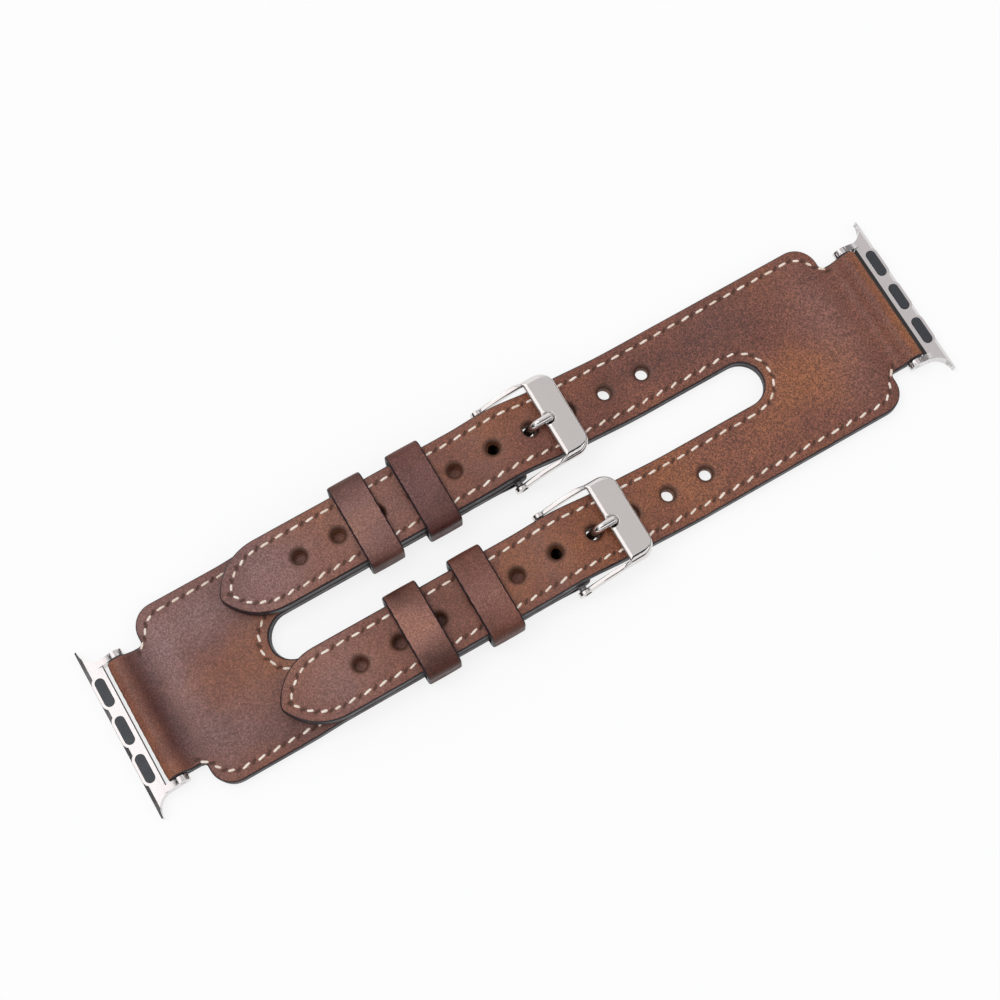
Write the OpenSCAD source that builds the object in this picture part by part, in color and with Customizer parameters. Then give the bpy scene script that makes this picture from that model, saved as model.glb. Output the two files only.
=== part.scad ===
// Twin strap leather watch band, buckled and laid flat, in millimetres.
// X runs along the band, from the buckle half at -X to the tongue half at +X.
// Y runs across it. Z = 0 is the surface that the band lies on.

/* [Leather] */
// Width over both straps
band_w = 36; // [33:0.5:42]
// Gap between the two straps
slot_w = 8.6; // [8:0.1:11]
// Thickness of the outer layer
outer_t = 1.4; // [1.2:0.05:1.7]
// Thickness of the lining
lining_t = 1.1; // [0.9:0.05:1.3]
// Radius of the outer corners of the wide panels
corner_r = 4.4; // [2:0.1:5]
// Radius in the corner between a neck and its panel
neck_fillet_r = 0.9; // [0.5:0.1:1.2]
// Width of the necks that fold round the adapter bars
neck_w = 23.9; // [20:0.1:24.5]
// Length of a neck, from the adapter bar's axis to the panel
neck_l = 5; // [5:0.1:8]
// Depth of the crease between a fold and its panel
crease_d = 0.25; // [0.1:0.05:0.35]
// Thickness that the outer layer loses where it is skived to fold
fold_thinning = 0.1; // [0:0.05:0.3]
// Gap left between leather pieces that lie on each other
layer_gap = 0.05; // [0.03:0.01:0.1]

/* [Lengths] */
// Buckle half, from the adapter bar's axis to the buckle pin's axis
buckle_half_l = 77.4; // [70:0.1:90]
// Tongue half, from the adapter bar's axis to the strap tips
tongue_half_l = 131.5; // [125:0.1:145]
// Buckle half's adapter bar axis to the closed end of its slot
buckle_slot_from = 24.5; // [20:0.1:27]
// Tongue half's adapter bar axis to the closed end of its slot
tongue_slot_from = 25.8; // [20:0.1:30]
// Length over which a strap tip narrows to its point
tip_l = 10; // [8:0.1:14]
// Radius of the rounded point of a strap tip
tip_nose_r = 1.8; // [1:0.1:2.5]

/* [Punched holes] */
// Number of holes in each strap
hole_count = 10; // [7:1:10]
// Distance between holes
hole_pitch = 7.9; // [6.5:0.1:8]
// Distance from a strap's point to its first hole
first_hole = 15.8; // [13:0.1:20]
// Number of holes between the strap's point and the hole in use
used_hole_count = 6; // [4:1:6]
// Radius of a hole
hole_r = 1.15; // [0.9:0.05:1.3]
// Radius of the pressed rim round a hole
hole_rim_r = 1.75; // [1.5:0.05:2]
// Depth of the pressed rim
hole_rim_d = 0.4; // [0.2:0.05:0.5]

/* [Keepers] */
// Length of a keeper along the strap
keeper_l = 6.6; // [5:0.1:8]
// Thickness of a keeper's leather
keeper_t = 1.1; // [0.9:0.05:1.3]
// Clearance under the straps inside a sliding keeper
keeper_gap = 0.1; // [0.08:0.01:0.2]
// Clearance over the straps and their stitching inside a keeper
keeper_over = 0.25; // [0.15:0.05:0.4]
// Clearance beside the straps inside a keeper
keeper_side_gap = 0.7; // [0.3:0.05:0.9]
// Radius of a keeper's outer long edges
keeper_edge_r = 2.2; // [0.8:0.1:2.4]
// Fixed keeper's middle, from the buckle pin's axis
fixed_keeper_from = 15.7; // [14:0.1:17]
// Upper sliding keeper's middle, from the buckle pin's axis
upper_slider_from = 27.5; // [24:0.1:38]
// Lower sliding keeper's middle, from the buckle pin's axis
lower_slider_from = 28.7; // [24:0.1:38]

/* [Buckles] */
// Gap between a strap and a buckle's arm
arm_gap = 0.85; // [0.3:0.05:1]
// Thickness of an arm, across the band
arm_w = 0.9; // [0.8:0.05:1]
// Thickness of the curved frame
frame_t = 1.6; // [1.4:0.05:2]
// Pin axis to the middle of the front bar, along the band
bar_reach = 12.05; // [11:0.05:13]
// Width of the front bar along the band
front_bar_l = 5.4; // [4.5:0.1:6]
// Height of the front bar's middle over the pin's axis
bar_rise = 3.3; // [3.1:0.05:4]
// Radius of the front bar's outer corners, seen from above
front_corner_r = 3; // [1.5:0.1:3.5]
// Radius of the front bar's rounded ends, seen along the band
end_round_r = 1.8; // [1:0.1:2.2]
// Radius of the rounding over the front bar's outer corners
corner_round_r = 1.2; // [0.5:0.1:1.5]
// Width of the bevel along the front bar's edge over the strap
inner_bevel_w = 0.8; // [0.6:0.05:0.85]
// Depth of that bevel
inner_bevel_d = 0.4; // [0.3:0.05:0.45]
// Width and depth of the bevel along its other edge
outer_bevel = 0.35; // [0.25:0.05:0.5]
// Radius of the eye at the end of an arm
eye_r = 1.25; // [1:0.05:1.4]
// Pin axis to the hole in use, along the band
prong_reach = 6.5; // [6:0.1:7]
// Radius of a prong
prong_r = 0.8; // [0.6:0.05:0.8]
// Width of a prong's eye, across the band
prong_eye_w = 2.4; // [2:0.1:3]
// Gap between a prong's eye and the leather on each side of it
eye_gap = 0.2; // [0.1:0.05:0.4]
// Gap between the front bar and the strap under it
bar_gap = 0.55; // [0.3:0.05:1]
// Depth of the prong's seat in the front bar
seat_d = 0.8; // [0.5:0.05:0.9]
// Length of the prong's seat along the band
seat_l = 1.9; // [1.5:0.1:2.2]
// Gap between a prong's end and the end of its seat
seat_gap = 0.3; // [0.1:0.05:0.4]
// How much the seat's radius is larger than the prong's
seat_side = 0.6; // [0.4:0.05:0.7]
// Depth of the hollow that leads to the seat, at the bar's inner edge
hollow_d = 0.5; // [0.3:0.05:0.6]
// Length of that hollow along the band
hollow_l = 1.5; // [1:0.1:2]
// Radius of that hollow
hollow_r = 5; // [3:0.5:7]
// Distance from the hole in use back to the knee of a prong
knee_back = 1.3; // [1.2:0.05:1.5]
// Height of the knee over the pin's axis
knee_rise = 0.55; // [0.4:0.05:0.6]
// Distance from the hole in use on to the bend of a prong
bend_ahead = 1.1; // [1:0.05:1.2]
// Angle that a buckled frame can lift through
buckle_lift = 3; // [1:0.5:4]

/* [Spring bars] */
// Radius of the tubes in the leather loops
tube_r = 0.75; // [0.7:0.01:0.85]
// Radius of the bore in a tube
tube_bore_r = 0.55; // [0.5:0.01:0.6]
// Length of the necked mouth at each end of a tube
mouth_l = 0.5; // [0.4:0.05:0.8]
// Radius of the tips that stand in the metal ears
bar_tip_r = 0.4; // [0.35:0.01:0.42]
// Length of the flange behind each tip
flange_l = 1.2; // [0.8:0.1:1.6]
// Radial running clearance of shafts in holes
fit_gap = 0.05; // [0.03:0.01:0.08]

/* [Adapters] */
// Width of an adapter over its flared ends
adapter_w = 33.5; // [30:0.1:36]
// Thickness of the plate
plate_t = 2.2; // [2:0.05:2.6]
// Length of the plate along the band
plate_l = 3.3; // [3.1:0.05:4]
// Gap between the leather fold and the plate
plate_gap = 0.7; // [0.4:0.05:0.8]
// Thickness of an ear, across the band
ear_t = 1.15; // [1:0.05:1.6]
// Radius of an ear's rounded end
ear_r = 1.5; // [1.2:0.05:1.6]
// Gap between an ear and the neck
ear_gap = 0.15; // [0.1:0.05:0.4]
// Radius of the hollow between an ear and a flared end
flare_r = 3.2; // [2.5:0.05:3.4]
// Thickness left at the point of a flared end
flare_tip = 0.35; // [0.25:0.05:0.6]
// Bevel along the plate's outer upper edge
plate_bevel_w = 0.7; // [0.4:0.05:0.8]
// Depth of that bevel
plate_bevel_d = 0.55; // [0.3:0.05:0.7]
// Radius of the plate's outer lower edge
plate_round_r = 0.75; // [0.4:0.05:0.9]
// Length of a slot in the plate, across the band
pad_l = 5.6; // [4.5:0.1:6]
// Width of a slot in the plate
pad_w = 1.9; // [1.6:0.05:2]
// Distance between slots
pad_pitch = 7.7; // [7.2:0.1:8.2]
// Distance from a slot to the plate's outer edge
slot_inset = 0.6; // [0.6:0.05:0.7]
// Land round a slot that fills the bevel
land_w = 0.5; // [0.3:0.05:0.6]
// Depth of the slots
pad_d = 1.8; // [1.6:0.05:1.85]
// Clearance round the latch button
button_gap = 0.08; // [0.05:0.01:0.12]
// Height of the latch button
button_h = 1.25; // [1:0.05:1.3]
// Height that the latch button stands over the plate
button_proud = 0.15; // [0.1:0.05:0.3]
// Width of the latch's leaf spring
leaf_w = 1; // [0.6:0.1:1.2]
// Thickness of the latch's leaf spring
leaf_t = 0.12; // [0.08:0.01:0.15]

/* [Hidden] */
$fn = 64;
eps = 0.01;
// How far cutting shapes reach past a surface, and past everything
cut = 1;
far = 60;

// Leather widths and heights
leather_t = outer_t + lining_t;
strap_w = (band_w - slot_w) / 2;
strap_y = (slot_w + strap_w) / 2;
buckle_w = strap_w + 2 * (arm_gap + arm_w);
lift = keeper_t + keeper_gap;
loop_bore_r = tube_r + fit_gap;
loop_r = loop_bore_r + outer_t - fold_thinning;
bulge = loop_r - leather_t / 2;

// Places along the band
bar_span = buckle_half_l + prong_reach + tongue_half_l - first_hole - used_hole_count * hole_pitch;
left_bar_x = -bar_span / 2;
right_bar_x = bar_span / 2;
pin_x = left_bar_x + buckle_half_l;
front_bar_x = pin_x + bar_reach;
tip_x = right_bar_x - tongue_half_l;
bar_z = loop_r;
pin_z = lift + leather_t / 2;

// The buckle half rises from its panel to the height of the keepers, beside its slot's end
ramp_lead = 2;
ramp_l = 7.6;
ramp_from = left_bar_x + buckle_slot_from - ramp_lead;
ramp_to = ramp_from + ramp_l;
// The fold at the buckle pin: length of its swelling and of its skived tail
swell_l = 5;
pin_tail_l = 10.3;
// The fold at an adapter bar: length of its hump, its crease and its tail
hump_l = 3.2;
crease_l = 4.3;
bar_tail_l = 4.6;
// The tongue swells over the fold before the pin and starts to fall after it
crest_l = 1.5;
crest_back = 0.5;
over_fold_to = pin_x - crest_back;
over_fold_from = over_fold_to - swell_l - crest_l;
fall_from = over_fold_to + crest_l;
// It falls to the front bar, lies level under it and then comes down to rest
level_l = 1;
settle_l = 14;
under_bar_z = pin_z + bar_rise - frame_t / 2 - bar_gap - leather_t;
fall_to = front_bar_x - level_l / 2;
rest_from = front_bar_x + level_l / 2;
rest_to = rest_from + settle_l;

// How far a sheet reaches into the round of its fold, along and across
join_in = 0.5;
join_past = 0.3;
join_z = loop_r - join_past;
// Number of facets along a curved stretch of leather
ramp_steps = 8;
hump_steps = 8;

function ease(t) = t <= 0 ? 0 : t >= 1 ? 1 : t * t * (3 - 2 * t);
function rise(x, from, to) = ease((x - from) / (to - from));
function span(from, to, steps) = [for (i = [0 : steps - 1]) from + (to - from) * i / steps];
function flip(list) = [for (i = [len(list) - 1 : -1 : 0]) list[i]];
function inside(list, low, high) = [for (x = list) if (x > low + eps && x < high - eps) x];

// Extra height of the leather at distance u from an adapter bar's axis
function hump(u) =
    (2 * loop_r - leather_t) * (1 - rise(u, 0, hump_l))
    - crease_d * rise(u, hump_l / 2, hump_l) * (1 - rise(u, hump_l, hump_l + crease_l));

function buckle_under(x) = lift * rise(x, ramp_from, ramp_to);
function buckle_swell(x) = bulge * rise(x, pin_x - swell_l, pin_x);
function buckle_top(x) =
    buckle_under(x) + leather_t + buckle_swell(x) + hump(x - left_bar_x);

stack_z = lift + leather_t + layer_gap + bulge;
function tongue_under(x) =
    buckle_under(x) + leather_t + layer_gap
    + bulge * rise(x, over_fold_from, over_fold_to)
    - (stack_z - under_bar_z) * rise(x, fall_from, fall_to)
    - under_bar_z * rise(x, rest_from, rest_to);
function tongue_top(x) = tongue_under(x) + leather_t + hump(right_bar_x - x);
function hole_x(i) = tip_x + first_hole + i * hole_pitch;

buckle_xs = concat(
    span(left_bar_x + join_in, left_bar_x + hump_l, hump_steps),
    span(left_bar_x + hump_l, left_bar_x + hump_l + crease_l, hump_steps / 2),
    [left_bar_x + hump_l + crease_l],
    span(ramp_from, ramp_to, ramp_steps),
    [ramp_to],
    span(pin_x - swell_l, pin_x - join_in, ramp_steps),
    [pin_x - join_in]);

tongue_xs = concat(
    [tip_x],
    inside(span(ramp_from, ramp_to, ramp_steps), tip_x, ramp_to),
    [ramp_to],
    span(over_fold_from, over_fold_to, ramp_steps),
    [over_fold_to],
    span(fall_from, fall_to, ramp_steps),
    [fall_to],
    span(rest_from, rest_to, ramp_steps),
    [rest_to],
    span(right_bar_x - hump_l - crease_l, right_bar_x - hump_l, hump_steps / 2),
    span(right_bar_x - hump_l, right_bar_x - join_in, hump_steps),
    [right_bar_x - join_in]);

// Adapter, seen from its bar: distances away from the leather
ear_in_y = neck_w / 2 + ear_gap;
ear_out_y = ear_in_y + ear_t;
plate_in = loop_r + plate_gap;
plate_out = plate_in + plate_l;
pad_x = plate_out - slot_inset - pad_w / 2;
pocket_z = plate_t - pad_d;
ear_root_l = 0.9;

// Buckle frame, seen from its pin
frame_bend_r = (bar_reach * bar_reach + bar_rise * bar_rise) / (2 * bar_rise);
frame_in_x = bar_reach - front_bar_l / 2;
frame_out_x = bar_reach + front_bar_l / 2;
frame_in_y = buckle_w / 2 - arm_w;
frame_top = bar_rise + frame_t / 2;
hollow_tilt = atan2(hollow_d, hollow_l);
corner_in = front_corner_r * (1 - cos(45));
// A prong: its seat is wider than it and its tip lies level in the seat. Its shank starts in the
// eye, runs under the strap to a knee and rises through the hole in use to a bend
seat_r = prong_r + seat_side;
prong_tip_z = frame_top - seat_d + prong_r + fit_gap;
prong_end_x = frame_in_x + seat_l;
prong_root = [0.6, 0.25];
prong_knee = [prong_reach - knee_back, knee_rise];
prong_bend = [prong_reach + bend_ahead, prong_tip_z];
// Room round the prong in the strap for the frame's lift
prong_way = fit_gap + frame_in_x * sin(buckle_lift / 2);

// Colours
saddle = [0.47, 0.28, 0.19];
lining_tan = [0.62, 0.42, 0.28];
steel = [0.78, 0.77, 0.76];
charcoal = [0.16, 0.17, 0.2];

// Turns a shape drawn in X and Z into a solid that reaches w across the band
module across(w) {
    translate([0, w / 2, 0]) rotate([90, 0, 0]) linear_extrude(w) children();
}

// A round shaft or hole along Y between y0 and y1
module rod(r, y0, y1) {
    translate([0, y1, 0]) rotate([90, 0, 0]) cylinder(r = r, h = y1 - y0);
}

// A slot outline of full length l across the band and width w, with round ends
module slot_shape(l, w) {
    square([w, l - w], center = true);
    for (s = [-1, 1]) translate([0, s * (l - w) / 2]) circle(d = w);
}

// Outline of one half, from its bar at X = 0: neck, wide panel and the slot
module half_plan(slot_from, strap_to) {
    difference() {
        union() {
            translate([-far, -neck_w / 2]) square([far + neck_l + corner_r, neck_w]);
            translate([neck_l, -band_w / 2]) square([strap_to - neck_l, band_w]);
            for (s = [-1, 1]) translate([neck_l, s * neck_w / 2]) neck_fillet(s);
        }
        for (s = [-1, 1]) translate([neck_l, s * band_w / 2]) corner_cut(s);
        translate([slot_from + slot_w / 2, 0]) circle(d = slot_w);
        translate([slot_from + slot_w / 2, -slot_w / 2]) square([far * 3, slot_w]);
    }
}

module neck_fillet(s) {
    r = neck_fillet_r;
    difference() {
        translate([-r, s > 0 ? -eps : -r]) square([r + eps, r + eps]);
        translate([-r, s * r]) circle(r);
    }
}

module corner_cut(s) {
    r = corner_r;
    difference() {
        translate([-eps, s > 0 ? -r : -eps]) square([r + eps, r + eps]);
        translate([r, -s * r]) circle(r);
    }
}

// What is cut off a square strap end to point it: two arcs and a round nose
module tip_cut() {
    h = strap_w / 2;
    arc_r = (tip_l * tip_l + h * h) / (2 * h);
    nose_x = tip_l - sqrt(pow(arc_r - tip_nose_r, 2) - pow(arc_r - h, 2));
    nose_cut = tip_l - (tip_l - nose_x) * arc_r / (arc_r - tip_nose_r);
    for (s = [0, 1]) mirror([0, s]) difference() {
        translate([-cut, -eps]) square([tip_l + cut, h + 2 * eps]);
        translate([tip_l, h - arc_r]) circle(arc_r, $fn = 128);
    }
    difference() {
        translate([-cut, -h]) square([nose_cut + cut, 2 * h]);
        translate([nose_x, 0]) circle(tip_nose_r);
    }
}

// Outline of the tongue half in band coordinates
module tongue_plan() {
    difference() {
        translate([right_bar_x, 0]) mirror([1, 0]) half_plan(tongue_slot_from, tongue_half_l);
        for (s = [-1, 1]) translate([tip_x, s * strap_y]) tip_cut();
    }
}

// Cuts the slot in the buckle fold that the prong's eye turns in
module prong_slots() {
    w = prong_eye_w + 2 * eye_gap;
    from = pin_x - eye_r - eye_gap;
    for (s = [-1, 1]) {
        translate([from, s * strap_y]) circle(d = w);
        translate([from, s * strap_y - w / 2]) square([far, w]);
    }
}

// Side view of the buckle half's outer leather, from fold to fold, with its skived tails
module buckle_sheet_side() {
    tail_l = left_bar_x + bar_tail_l;
    tail_r = pin_x - pin_tail_l;
    polygon(concat(
        [[left_bar_x - join_past, bar_z + join_z]],
        [for (x = buckle_xs) [x, buckle_top(x)]],
        [[pin_x + join_past, pin_z + join_z], [pin_x + join_past, pin_z - join_z]],
        [for (x = flip(inside(buckle_xs, tail_r, pin_x))) [x, buckle_under(x) - buckle_swell(x)]],
        [[tail_r, lift], [tail_r, lift + lining_t]],
        [for (x = flip(inside(buckle_xs, tail_l, tail_r))) [x, buckle_under(x) + lining_t]],
        [[tail_l, lining_t], [tail_l, 0], [left_bar_x + join_in, 0]],
        [[left_bar_x - join_past, bar_z - join_z]]));
}

module buckle_half_outer() {
    reach = band_w / 2 + cut;
    color(saddle) difference() {
        intersection() {
            union() {
                across(2 * reach) buckle_sheet_side();
                translate([left_bar_x, 0, bar_z]) rod(loop_r, -reach, reach);
                translate([pin_x, 0, pin_z]) rod(loop_r, -reach, reach);
            }
            translate([0, 0, -cut]) linear_extrude(far) difference() {
                translate([left_bar_x, 0]) half_plan(buckle_slot_from, buckle_half_l + far);
                prong_slots();
            }
        }
        translate([left_bar_x, 0, bar_z]) rod(loop_bore_r, -reach, reach);
        translate([pin_x, 0, pin_z]) rod(loop_bore_r, -reach, reach);
    }
}

module buckle_half_lining() {
    from = left_bar_x + bar_tail_l;
    to = pin_x - pin_tail_l;
    xs = concat([from], inside(buckle_xs, from, to), [to]);
    color(lining_tan) intersection() {
        across(band_w + 2 * cut) polygon(concat(
            [for (x = xs) [x, buckle_under(x)]],
            [for (x = flip(xs)) [x, buckle_under(x) + lining_t]]));
        translate([0, 0, -cut]) linear_extrude(far)
            translate([left_bar_x, 0]) half_plan(buckle_slot_from, buckle_half_l);
    }
}

// Side view of the tongue half's outer leather, from its tips to the fold
module tongue_sheet_side() {
    tail = right_bar_x - bar_tail_l;
    polygon(concat(
        [for (x = tongue_xs) [x, tongue_top(x)]],
        [[right_bar_x + join_past, bar_z + join_z]],
        [[right_bar_x + join_past, bar_z - join_z], [right_bar_x - join_in, 0]],
        [[tail, 0], [tail, lining_t]],
        [for (x = flip(inside(tongue_xs, tip_x - cut, tail))) [x, tongue_under(x) + lining_t]]));
}

// A round bar between two points of the frame's side view
module shank_part(r, from, to) {
    translate([from[0], 0, from[1]])
        rotate([0, 90 - atan2(to[1] - from[1], to[0] - from[0]), 0])
            cylinder(r = r, h = norm(to - from));
}

// The bent part of a prong, from its eye to the bend over the strap
module prong_shank(r) {
    shank_part(r, prong_root, prong_knee);
    translate([prong_knee[0], 0, prong_knee[1]]) sphere(r + 2 * eps);
    shank_part(r, prong_knee, prong_bend);
}

// The punched holes with their pressed rims, and the slanted way of each prong
module punched_holes() {
    for (s = [-1, 1]) {
        for (i = [0 : hole_count - 1]) translate([hole_x(i), s * strap_y, 0]) {
            translate([0, 0, -cut]) cylinder(r = hole_r, h = far);
            translate([0, 0, tongue_top(hole_x(i)) - hole_rim_d])
                cylinder(r1 = hole_r, r2 = hole_rim_r, h = hole_rim_d);
            translate([0, 0, tongue_top(hole_x(i))]) cylinder(r = hole_rim_r, h = cut);
        }
        translate([pin_x, s * strap_y, pin_z]) rotate([0, -buckle_lift / 2, 0])
            prong_shank(prong_r + prong_way);
    }
}

module tongue_half_outer() {
    reach = band_w / 2 + cut;
    color(saddle) difference() {
        intersection() {
            union() {
                across(2 * reach) tongue_sheet_side();
                translate([right_bar_x, 0, bar_z]) rod(loop_r, -reach, reach);
            }
            translate([0, 0, -cut]) linear_extrude(far) tongue_plan();
        }
        translate([right_bar_x, 0, bar_z]) rod(loop_bore_r, -reach, reach);
        punched_holes();
    }
}

module tongue_half_lining() {
    tail = right_bar_x - bar_tail_l;
    xs = concat(inside(tongue_xs, tip_x - cut, tail), [tail]);
    color(lining_tan) difference() {
        intersection() {
            across(band_w + 2 * cut) polygon(concat(
                [for (x = xs) [x, tongue_under(x)]],
                [for (x = flip(xs)) [x, tongue_under(x) + lining_t]]));
            translate([0, 0, -cut]) linear_extrude(far) tongue_plan();
        }
        punched_holes();
    }
}

// A rectangle with round corners that stands on Y = 0
module round_box(w, h, r) {
    translate([-w / 2, r]) square([w, h - 2 * r]);
    translate([-w / 2 + r, 0]) square([w - 2 * r, h]);
    for (a = [-1, 1], z = [r, h - r]) translate([a * (w / 2 - r), z]) circle(r);
}

// A closed loop of leather round both straps, in band coordinates
module keeper(x, s, low, over) {
    in_w = strap_w + 2 * keeper_side_gap;
    in_h = 2 * leather_t + layer_gap + over;
    translate([x - keeper_l / 2, s * strap_y, low]) rotate([90, 0, 90]) linear_extrude(keeper_l)
        difference() {
            round_box(in_w + 2 * keeper_t, in_h + 2 * keeper_t, keeper_edge_r);
            translate([0, keeper_t]) round_box(in_w, in_h, min(keeper_side_gap, keeper_edge_r));
        }
}

module sliding_keeper(from, s) {
    color(saddle) keeper(pin_x - from, s, 0, keeper_gap + keeper_over);
}

module fixed_keeper(s) {
    color(saddle) keeper(pin_x - fixed_keeper_from, s, keeper_gap, keeper_over);
}

// Outline of a buckle frame from above: two arms and the front bar
module frame_plan() {
    r = front_corner_r;
    difference() {
        union() {
            translate([0, -buckle_w / 2]) square([frame_out_x - r, buckle_w]);
            translate([0, -buckle_w / 2 + r]) square([frame_out_x, buckle_w - 2 * r]);
            for (s = [-1, 1]) translate([frame_out_x - r, s * (buckle_w / 2 - r)]) circle(r);
        }
        translate([-cut, -frame_in_y]) square([frame_in_x + cut, 2 * frame_in_y]);
    }
}

// A round rod along Z whose far end is a dome; l is its whole length
module domed_rod(r, l) {
    rotate_extrude() difference() {
        square([r, l]);
        translate([0, l]) mirror([0, 1]) difference() {
            translate([0, -eps]) square([r + eps, r + eps]);
            translate([0, r]) circle(r);
        }
    }
}

// A wedge that cuts a bevel of width w and depth d off an upper edge along X
module bevel_wedge(w, d) {
    rotate([90, 0, 90]) linear_extrude(far, center = true)
        polygon([[-w, 0], [w, -2 * d], [w, 2 * cut], [-w, 2 * cut]]);
}

// What rounds an upper edge along X to radius r
module edge_round(r) {
    difference() {
        translate([-far / 2, -r, -r]) cube([far, r + cut, r + cut]);
        translate([0, -r, -r]) rotate([0, 90, 0]) cylinder(r = r, h = far + cut, center = true);
    }
}

module frame_body() {
    difference() {
        union() {
            intersection() {
                linear_extrude(far, center = true) frame_plan();
                translate([bar_reach, 0, bar_rise - frame_bend_r]) difference() {
                    rod(frame_bend_r + frame_t / 2, -buckle_w, buckle_w, $fn = 128);
                    rod(frame_bend_r - frame_t / 2, -buckle_w - cut, buckle_w + cut, $fn = 128);
                }
                translate([0, -far / 2, -far / 2]) cube([far, far, far]);
            }
            for (s = [-1, 1])
                rod(eye_r, s > 0 ? frame_in_y : -buckle_w / 2, s > 0 ? buckle_w / 2 : -frame_in_y);
        }
        rod(bar_tip_r + fit_gap, -buckle_w, buckle_w);
        // Rounded ends and outer corners of the front bar
        intersection() {
            for (s = [0, 1]) mirror([0, s, 0]) {
                translate([0, buckle_w / 2, frame_top]) edge_round(end_round_r);
                translate([frame_out_x - corner_in, buckle_w / 2 - corner_in, frame_top])
                    rotate([0, 0, -45]) edge_round(corner_round_r);
            }
            translate([frame_in_x, -far / 2, 0]) cube([far, far, far]);
        }
        // Bevels along both long edges of the front bar
        translate([frame_in_x, 0, frame_top]) rotate([0, 0, 90])
            bevel_wedge(inner_bevel_w, inner_bevel_d);
        translate([frame_out_x, 0, frame_top]) rotate([0, 0, -90])
            bevel_wedge(outer_bevel, outer_bevel);
        // Hollow that leads to the seat, and the seat for the prong
        translate([frame_in_x, 0, frame_top - hollow_d]) rotate([0, -hollow_tilt, 0])
            translate([-cut, 0, hollow_r]) rotate([0, 90, 0]) cylinder(r = hollow_r, h = far);
        translate([frame_in_x - cut, 0, frame_top - seat_d + seat_r]) rotate([0, 90, 0])
            domed_rod(seat_r, seat_l + seat_gap + cut);
    }
}

module at_pin(s) {
    translate([pin_x, s * strap_y, pin_z]) children();
}

module buckle_frame(s) {
    color(steel) at_pin(s) frame_body();
}

// A round-nosed prong: an eye round the pin, a bent shank and a tip in its seat
module prong(s) {
    color(steel) at_pin(s) difference() {
        union() {
            rod(eye_r, -prong_eye_w / 2, prong_eye_w / 2);
            prong_shank(prong_r);
            translate([prong_bend[0], 0, prong_bend[1]]) sphere(prong_r + 2 * eps);
            translate([prong_bend[0], 0, prong_bend[1]]) rotate([0, 90, 0])
                domed_rod(prong_r, prong_end_x - prong_bend[0]);
        }
        rod(loop_bore_r, -prong_eye_w, prong_eye_w);
    }
}

// Spring bar: a tube with necked mouths, half_l from its middle to each end
module bar_tube(half_l) {
    color(steel) difference() {
        rod(tube_r, -half_l, half_l);
        rod(bar_tip_r + fit_gap, -half_l - cut, half_l + cut);
        rod(tube_bore_r, -half_l + mouth_l, half_l - mouth_l);
    }
}

// One tip of a spring bar: a pin out to reach, and the flange that keeps it in the tube
module bar_tip(half_l, reach) {
    color(steel) {
        rod(bar_tip_r, half_l - mouth_l - flange_l, reach);
        rod(tube_bore_r - fit_gap, half_l - mouth_l - flange_l, half_l - mouth_l - fit_gap);
    }
}

// Plain sleeve of the coil's size, between the two flanges of a spring bar
module bar_spring(half_l) {
    l = half_l - mouth_l - flange_l - fit_gap;
    color("gray") difference() {
        rod(tube_bore_r - fit_gap, -l, l);
        rod(tube_bore_r / 2, -l - cut, l + cut);
    }
}
pin_tube_l = frame_in_y - ear_gap / 2;
bar_tube_l = ear_in_y - ear_gap / 2;

// Places an adapter's pieces: X runs from the bar's axis away from the leather
module at_bar(end) {
    translate([end * right_bar_x, 0, 0]) mirror([end > 0 ? 0 : 1, 0, 0]) children();
}

// Outline of the adapter plate from above, with its flared ends
module plate_plan() {
    difference() {
        translate([plate_in, -adapter_w / 2]) square([plate_l, adapter_w]);
        for (s = [-1, 1]) {
            translate([plate_out - flare_tip - flare_r, s * (ear_out_y + flare_r)]) circle(flare_r);
            translate([plate_in - cut, s > 0 ? ear_out_y + flare_r : -far - ear_out_y - flare_r])
                square([plate_l + cut - flare_tip, far]);
            translate([plate_in - cut, s > 0 ? ear_out_y : -far - ear_out_y])
                square([plate_l + cut - flare_tip - flare_r, far]);
        }
    }
}

// Side view of the plate: upper bevel and rounded lower outer edge
module plate_side() {
    r = plate_round_r;
    difference() {
        translate([plate_in, 0]) square([plate_l, plate_t]);
        polygon([
            [plate_out - plate_bevel_w, plate_t], [plate_out, plate_t - plate_bevel_d],
            [plate_out + cut, plate_t - plate_bevel_d], [plate_out + cut, plate_t + cut],
            [plate_out - plate_bevel_w, plate_t + cut]]);
        difference() {
            translate([plate_out - r, -eps]) square([r + eps, r + eps]);
            translate([plate_out - r, r]) circle(r);
        }
    }
}

// Side view of an ear, from its round end to the plate
module ear_side() {
    translate([0, bar_z]) circle(ear_r);
    polygon([[0, bar_z + ear_r], [plate_in + ear_root_l, plate_t], [plate_in + ear_root_l, 0],
        [plate_in, 0], [0, bar_z - ear_r]]);
}

module adapter(end) {
    color(steel) at_bar(end) difference() {
        union() {
            intersection() {
                across(adapter_w + 2 * cut) plate_side();
                translate([0, 0, -cut]) linear_extrude(far) plate_plan();
            }
            for (s = [-1, 1]) translate([0, s * (ear_in_y + ear_t / 2), 0]) across(ear_t) ear_side();
            for (i = [-1, 0, 1]) translate([pad_x, i * pad_pitch, plate_t / 2])
                linear_extrude(plate_t / 2) slot_shape(pad_l + 2 * land_w, pad_w + 2 * land_w);
        }
        translate([0, 0, bar_z]) rod(bar_tip_r + fit_gap, -far, far);
        for (i = [-1, 0, 1]) translate([pad_x, i * pad_pitch, pocket_z])
            linear_extrude(plate_t) slot_shape(pad_l, pad_w);
    }
}

module side_pads(end) {
    color(charcoal) at_bar(end) for (i = [-1, 1]) translate([pad_x, i * pad_pitch, pocket_z])
        linear_extrude(pad_d + layer_gap) slot_shape(pad_l - 2 * layer_gap, pad_w - 2 * layer_gap);
}

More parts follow.
